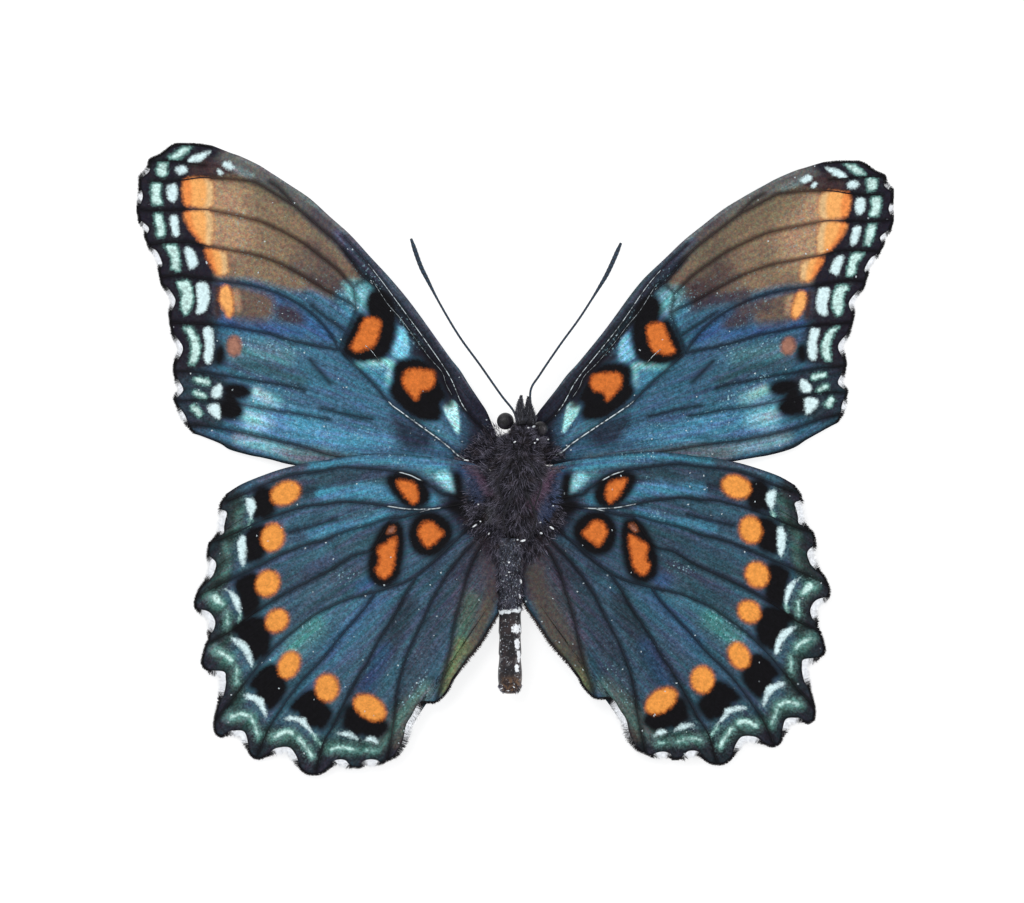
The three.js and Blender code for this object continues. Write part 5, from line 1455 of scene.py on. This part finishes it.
# Palps: slim brushes of scales pointing forward. Places have a height in millimetres; strands get
# shorter towards the tip.
palps = {"palp_left": (521.2, 424, 4.2, 520, 415, 3.9, 520.2, 406, 3.6, 521.2, 396.5, 3.3),
         "palp_right": (531, 424, 4.1, 529.6, 415, 3.8, 528.6, 406, 3.5, 528.2, 397.5, 3.2)}
palpLook = {"half": (0.45, 0.44, 0.26, 0.05), "deeper": 1.15, "hairs": 1500, "length": (0.3, 0.75),
            "shorter": 0.72, "width": (0.025, 0.045), "spread": 0.36, "lean": (0, 1.0, -0.25),
            "dark": paint(30, 31, 40), "pale": paint(134, 136, 148)}
for name, points in palps.items():
    path = spacePath(points, 1, count=24)
    half = np.interp(np.linspace(0, 3, len(path)), range(4), palpLook["half"]) * mm
    vertices, quads, fans = tubeMesh(path, half, half * palpLook["deeper"], 14)
    makePiece(f"{name}_core", vertices, [quads, fans], coreMaterial, nodes=(name,))
    n = palpLook["hairs"]
    place = random.uniform(0, len(path) - 1.01, n)
    low = place.astype(int)
    part = (place - low)[:, None]
    spine = path[low] * (1 - part) + path[low + 1] * part
    size = np.interp(place, np.arange(len(path)), half)
    turn = random.uniform(0, 2 * np.pi, n)
    out = np.stack([np.cos(turn), np.zeros(n), np.sin(turn)], 1)
    direction = out * palpLook["spread"] + np.array(palpLook["lean"]) + random.normal(0, 0.2, (n, 3))
    length = random.uniform(*palpLook["length"], n) * mm * (1 - palpLook["shorter"] * place / len(path))
    bend = random.normal(0, 0.06, (n, 3))
    width = random.uniform(*palpLook["width"], n) * mm
    vertices, quads, fans, along, owner = strandMesh(spine + out * size[:, None] * 0.9, direction, bend,
                                                     length, width)
    tint = palpLook["dark"] + (palpLook["pale"] - palpLook["dark"]) * random.random((n, 1)) ** 3.5
    tint = tint[owner] * (0.6 + 0.6 * along)[:, None]
    makePiece(f"{name}_brush", vertices, [quads, fans], downMaterial, None, {"tint": tint})


# Abdomen: rings along the body whose width swells and dips at each segment. Its first half is scaled
# and hairy, the rest bare and glossy, with painted highlights on it: pale gleams and a pale band between them.
abdomen = {"axis": 510, "stations": (538, 9.6, 546, 11.4, 566, 12.2, 572, 11.4, 588, 12, 594, 11.2, 608, 11.8,
                                     615, 11, 631, 11.6, 636, 10.8, 652, 11.6, 657, 10.9, 671, 12.2,
                                     681, 12, 689, 10, 693, 5),
           "heights": (3.0, 2.2), "widest": 12.2, "halfDeep": 1.1, "inset": 0.985, "rings": 300,
           "sides": 72,
           "bareFrom": (606, 616), "highlightBandAt": (512, 610.5), "highlightBandSlope": 0.12, "highlightBandHalf": 3.6,
           "amberFrom": (672, 682),
           "gleams": [(516, 628.6, 5.6, 5.8), (517.2, 643, 3, 7), (518.6, 655.5, 2, 7.4),
                      (516.6, 667.8, 2.8, 4.6)],
           "hairs": 1700, "hairsFrom": (538, 608), "hairLength": (0.2, 0.5), "hairWidth": (0.03, 0.055),
           "tipHairs": 260, "tipFrom": (684, 692), "tipStarts": 680, "tipLength": 0.55}


# Scales in front and bare shell behind, with sparks and ripples, an amber side at the tip, and the
# painted highlights, near-white gleams and band, broken up at their edges by crumbs of noise.
def abdomenMaterial(name):
    material, tree, shader = newMaterial(name, Specular_IOR_Level=0.4)
    grain = useGroup(tree, grainGroup, Point=objectPoint(tree), Scale_Size=0.1 * mm)
    cell, spark, ripple, mottle = grain.outputs
    bare = attribute(tree, "bare")
    scaled = mixed(tree, ranged(tree, times(tree, cell, ripple), 0.1, 0.5), paint(24, 26, 36),
                   paint(66, 72, 88))
    scaled = mixed(tree, ranged(tree, spark, 0.93, 0.97), scaled, paint(150, 158, 170))
    shell = mixed(tree, ranged(tree, mottle, 0.35, 0.65), paint(18, 15, 20), paint(50, 38, 40))
    shell = mixed(tree, ranged(tree, spark, 0.955, 0.985, 0, 0.6), shell, paint(150, 156, 168))
    shell = mixed(tree, ranged(tree, ripple, 0.5, 0.7), shell, paint(14, 18, 30))
    amber = mixed(tree, ranged(tree, ripple, 0.4, 0.62), paint(40, 26, 24), paint(112, 84, 60))
    colour = mixed(tree, ranged(tree, calc(tree, "ADD", bare, times(tree, ripple, 0.2)), 0.5, 0.7),
                   scaled, shell)
    colour = mixed(tree, attribute(tree, "amber"), colour, amber)
    # Painted highlights: near-white gleams and band laid over the shell.
    crumbs = calc(tree, "SUBTRACT", noise(tree, objectPoint(tree), 3600, 3, 0.6), 0.5)
    gleam = calc(tree, "ADD", attribute(tree, "gleam"), times(tree, crumbs, 3.2))
    gleam = ranged(tree, gleam, 0.1, 0.75)
    colour = mixed(tree, gleam, colour, paint(240, 244, 249))
    highlightBand = calc(tree, "ADD", attribute(tree, "highlightBand"), times(tree, crumbs, 3.4))
    highlightBand = ranged(tree, highlightBand, 0.35, 0.95)
    colour = mixed(tree, highlightBand, colour, paint(236, 242, 247))
    feed(tree, colour, shader.inputs["Base Color"])
    feed(tree, ranged(tree, bare, 0, 1, 0.7, 0.3, False), shader.inputs["Roughness"])
    bump(tree, calc(tree, "ADD", cell, times(tree, mottle, 3.0)), 0.02 * mm, 0.5, shader)
    return material


spine = curveThrough(pts(*abdomen["stations"]), 1, count=abdomen["rings"])
share = (spine[:, 0] - spine[0, 0]) / (spine[-1, 0] - spine[0, 0])
front, tip = abdomen["heights"]
spinePath = np.stack([np.full(len(spine), toX(abdomen["axis"])), toY(spine[:, 0]),
                      (front + (tip - front) * share) * mm], 1)
spineHalf = spine[:, 1] * unit * abdomen["inset"]
spineHigh = spine[:, 1] / abdomen["widest"] * abdomen["halfDeep"] * mm * abdomen["inset"]
vertices, quads, fans = tubeMesh(spinePath, spineHalf, spineHigh, abdomen["sides"])
planX, planY = toPlan(vertices)
dent = 1 - 0.045 * ease(clumps(planX, planY, 0.9), 0, 1)
vertices[:, 2] = vertices[:, 2] * dent
top = ease(vertices[:, 2] / mm, 2.3, 2.7)
bare = ease(planY, *abdomen["bareFrom"])
# Painted highlights on the upper side only: a slanted band and soft boxes at the gleams.
bend = planY - abdomen["highlightBandAt"][1] + abdomen["highlightBandSlope"] * (planX - abdomen["highlightBandAt"][0])
highlightBand = ease(abdomen["highlightBandHalf"] - np.abs(bend), 0, 3) * ease(vertices[:, 2] / mm, 2.6, 3.0)
gleam = np.full(len(planX), -1.0)
for gx, gy, a, b in abdomen["gleams"]:
    gleam = np.maximum(gleam, 1 - (np.abs(planX - gx) / a) ** 2.6 - (np.abs(planY - gy) / b) ** 2.6)
gleam = np.where(top > 0.1, gleam, -1)
amber = 0.85 * ease(planY, *abdomen["amberFrom"]) * ease(planX, 498, 504)
makePiece("abdomen_shell", vertices, [quads, fans], abdomenMaterial("abdomenShell"),
          {"bare": bare, "highlightBand": highlightBand, "amber": amber, "gleam": gleam}, nodes=("abdomen",))


# Abdomen down: strands on the upper half of the first rings, lying back and outwards, and a short
# ragged brush at the tip.
def buildAbdomenDown():
    count, tip = abdomen["hairs"], abdomen["tipHairs"]
    y = np.concatenate([random.uniform(*abdomen["hairsFrom"], count),
                        random.uniform(*abdomen["tipFrom"], tip)])
    turn = random.uniform(-0.35, math.pi + 0.35, count + tip)
    ring = np.interp(y, spine[:, 0], np.arange(len(spine)))
    wide, deep = (np.interp(ring, np.arange(len(spine)), each) for each in (spineHalf, spineHigh))
    z = np.interp(y, spine[:, 0], spinePath[:, 2])
    out = np.stack([np.cos(turn), np.zeros(len(y)), np.sin(turn)], 1)
    roots = np.stack([toX(abdomen["axis"]) + wide * out[:, 0], toY(y), z + deep * out[:, 2] * 0.96], 1)
    direction = out * 0.45 + np.array([0, -1.0, 0]) + random.normal(0, 0.3, (len(y), 3))
    length = random.uniform(*abdomen["hairLength"], len(y)) * mm
    length = length * np.where(y > abdomen["tipStarts"], abdomen["tipLength"], 1)
    bend = random.normal(0, 0.1, (len(y), 3))
    width = random.uniform(*abdomen["hairWidth"], len(y)) * mm
    vertices, quads, fans, along, owner = strandMesh(roots, direction, bend, length, width)
    tint = downTints(toPlan(roots)[0], y)[owner] * (0.6 + 0.7 * along)[:, None]
    makePiece("abdomen_down", vertices, [quads, fans], downMaterial, None, {"tint": tint})


buildAbdomenDown()


# Legs: dark jointed threads folded over the thorax.
legs = {
    "leg_middle_left": pts(512, 458, 501, 476, 498, 486, 506, 510),
    "leg_middle_right": pts(527, 458, 538, 476, 541, 486, 533, 510),
    "leg_hind_left": pts(513, 492, 504, 514, 504, 524, 510, 540),
    "leg_hind_right": pts(526, 492, 535, 514, 535, 524, 528, 540),
}
legLook = {"lift": 0.47, "radius": 0.12, "knee": (0.25, 0.38, 0.04), "heel": (0.2, 0.72, 0.03)}


# A swelling along the leg: its size times a bell about its place.
def swelling(share, size, place, reach):
    return size * np.exp(-((share - place) / reach) ** 2)


legMaterial = scaledMaterial("legScales", paint(16, 15, 20), paint(46, 44, 54), 0.09 * mm, 0.8)
thorax = body["thorax"]
for name, points in legs.items():
    line = curveThrough(points, 1, count=48)
    across = (line[:, 0] - thorax["at"][0]) / thorax["half"][0]
    along = (line[:, 1] - thorax["at"][1]) / thorax["half"][1]
    bulge = np.sqrt(np.maximum(1 - across ** 2 - along ** 2, 0))
    z = (thorax["height"] + thorax["deep"] * bulge + legLook["lift"] - legLook["radius"]) * mm
    share = np.linspace(0, 1, len(line))
    joints = 1 + swelling(share, *legLook["knee"]) + swelling(share, *legLook["heel"])
    radius = legLook["radius"] * (1 - 0.5 * share) * joints * mm
    radius[[0, -1]] *= 0.4
    path = np.stack([toX(line[:, 0]), toY(line[:, 1]), z], 1)
    vertices, quads, fans = tubeMesh(path, radius, radius, 10)
    makePiece(f"{name}_limb", vertices, [quads, fans], legMaterial, nodes=(name,))


# Height of an ellipsoid's top over the plan, zero outside it.
def domeTop(x, y, at, half, height, deep):
    inside = 1 - ((x - at[0]) / half[0]) ** 2 - ((y - at[1]) / half[1]) ** 2
    return np.where(inside > 0, height + deep * np.sqrt(np.maximum(inside, 0)), 0)


# Painted highlights on the down and the abdomen: near-white flecks that stand for glints of light off glossy
# scales and bare skin. Each has its place, half length, half width and turn in degrees in the plan; it lies on
# the highest surface there.
highlightFlecks = [
    (474.8, 525.6, 2.7, 0.8, -36), (478.4, 504.3, 0.9, 0.8, 0), (480.5, 521.3, 0.9, 0.8, 0),
    (489, 533.5, 1.2, 0.7, -60), (551.7, 527.7, 2.6, 1.0, 35), (540.3, 522.2, 0.9, 0.7, 0),
    (541, 533, 1.5, 1.1, 20), (523, 540.4, 2.8, 1.2, -15), (517.5, 539.5, 1.0, 0.8, 0),
    (509, 562, 1.1, 1.0, 0), (509, 571.8, 1.1, 0.8, 0), (520.6, 581, 2.9, 1.2, 84),
    (519.6, 596, 2.6, 1.1, 80), (466.5, 460.2, 2.8, 0.6, 8), (528.3, 427.8, 1.1, 0.8, 0),
    (533.7, 426.6, 1.8, 1.2, -20), (537.3, 439.5, 1.2, 1.0, 0), (548, 439.5, 1.0, 0.6, 0),
    (534.6, 443, 0.9, 0.8, 0), (514.8, 442, 1.6, 0.7, -30), (553, 505.6, 0.9, 0.7, 0),
    (500.4, 640, 1.0, 0.5, 85), (500.8, 651, 1.0, 0.5, 85), (499.8, 668, 0.9, 0.5, 70),
    (501.5, 688, 1.6, 0.6, -30), (508, 690, 1.8, 0.6, 5), (514, 686.5, 1.3, 0.6, 40),
]
highlightLift = 0.14
wingSkinTop = 0.3
wingTop = wingHeight("hindwing", marginReach("hindwing", hindwing, lays["left"]["hindwing"]))


# The highest of the hairy parts, the abdomen and the wing over a plan place, in millimetres.
def bodyTop(x, y):
    tops = [domeTop(x, y, part["at"], part["half"], part["height"], part["deep"]) for part in body.values()]
    across = (x - abdomen["axis"]) / np.interp(y, spine[:, 0], spine[:, 1])
    rise = np.interp(y, spine[:, 0], spineHigh) / mm * np.sqrt(np.maximum(1 - across ** 2, 0))
    tops.append(np.where(y > spine[0, 0], np.interp(y, spine[:, 0], spinePath[:, 2]) / mm + rise - 0.1, 0))
    tops.append(wingTop(toX(x) / mm, toY(y) / mm) + wingSkinTop)
    return np.max(tops, axis=0) + highlightLift


# The painted highlights' finish: near white with a fine grain.
def highlightFleckMaterial(name):
    material, tree, shader = newMaterial(name, Roughness=0.25, Specular_IOR_Level=0.5)
    grain = noise(tree, objectPoint(tree), 8000, 2)
    feed(tree, mixed(tree, ranged(tree, grain, 0.35, 0.65), paint(214, 222, 230), paint(252, 253, 255)),
         shader.inputs["Base Color"])
    return material


tubes = []
for x, y, halfLong, halfWide, turn in highlightFlecks:
    t = np.linspace(-1, 1, 9)
    spotX = x + t * halfLong * math.cos(math.radians(turn))
    spotY = y + t * halfLong * math.sin(math.radians(turn))
    radius = np.sqrt(np.maximum(1 - t ** 2, 0.02)) * halfWide * unit
    path = np.stack([toX(spotX), toY(spotY), bodyTop(spotX, spotY) * mm], 1)
    tubes.append(tubeMesh(path, radius, radius * 0.8, 8))
vertices, quads, fans = joinTubes(tubes)
makePiece("body_painted_highlights", vertices, [quads, fans], highlightFleckMaterial("paintedHighlightFleck"))


print("floor")
floorMesh = bpy.data.meshes.new("floor")
halfSide = light["floorSide"] / 2
floorMesh.from_pydata([(-halfSide, -halfSide, 0), (halfSide, -halfSide, 0), (halfSide, halfSide, 0),
                       (-halfSide, halfSide, 0)], [], [(0, 1, 2, 3)])
floor = bpy.data.objects.new("floor", floorMesh)
scene.collection.objects.link(floor)
floorMaterial, tree, shader = newMaterial("paleFloor", Roughness=0.9, Specular_IOR_Level=0.0)
shader.inputs["Base Color"].default_value = (*light["floor"], 1)
shader.inputs["Emission Color"].default_value = (1, 1, 1, 1)
shader.inputs["Emission Strength"].default_value = light["floorGlow"]
floorMesh.materials.append(floorMaterial)
floor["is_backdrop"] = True

low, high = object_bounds()
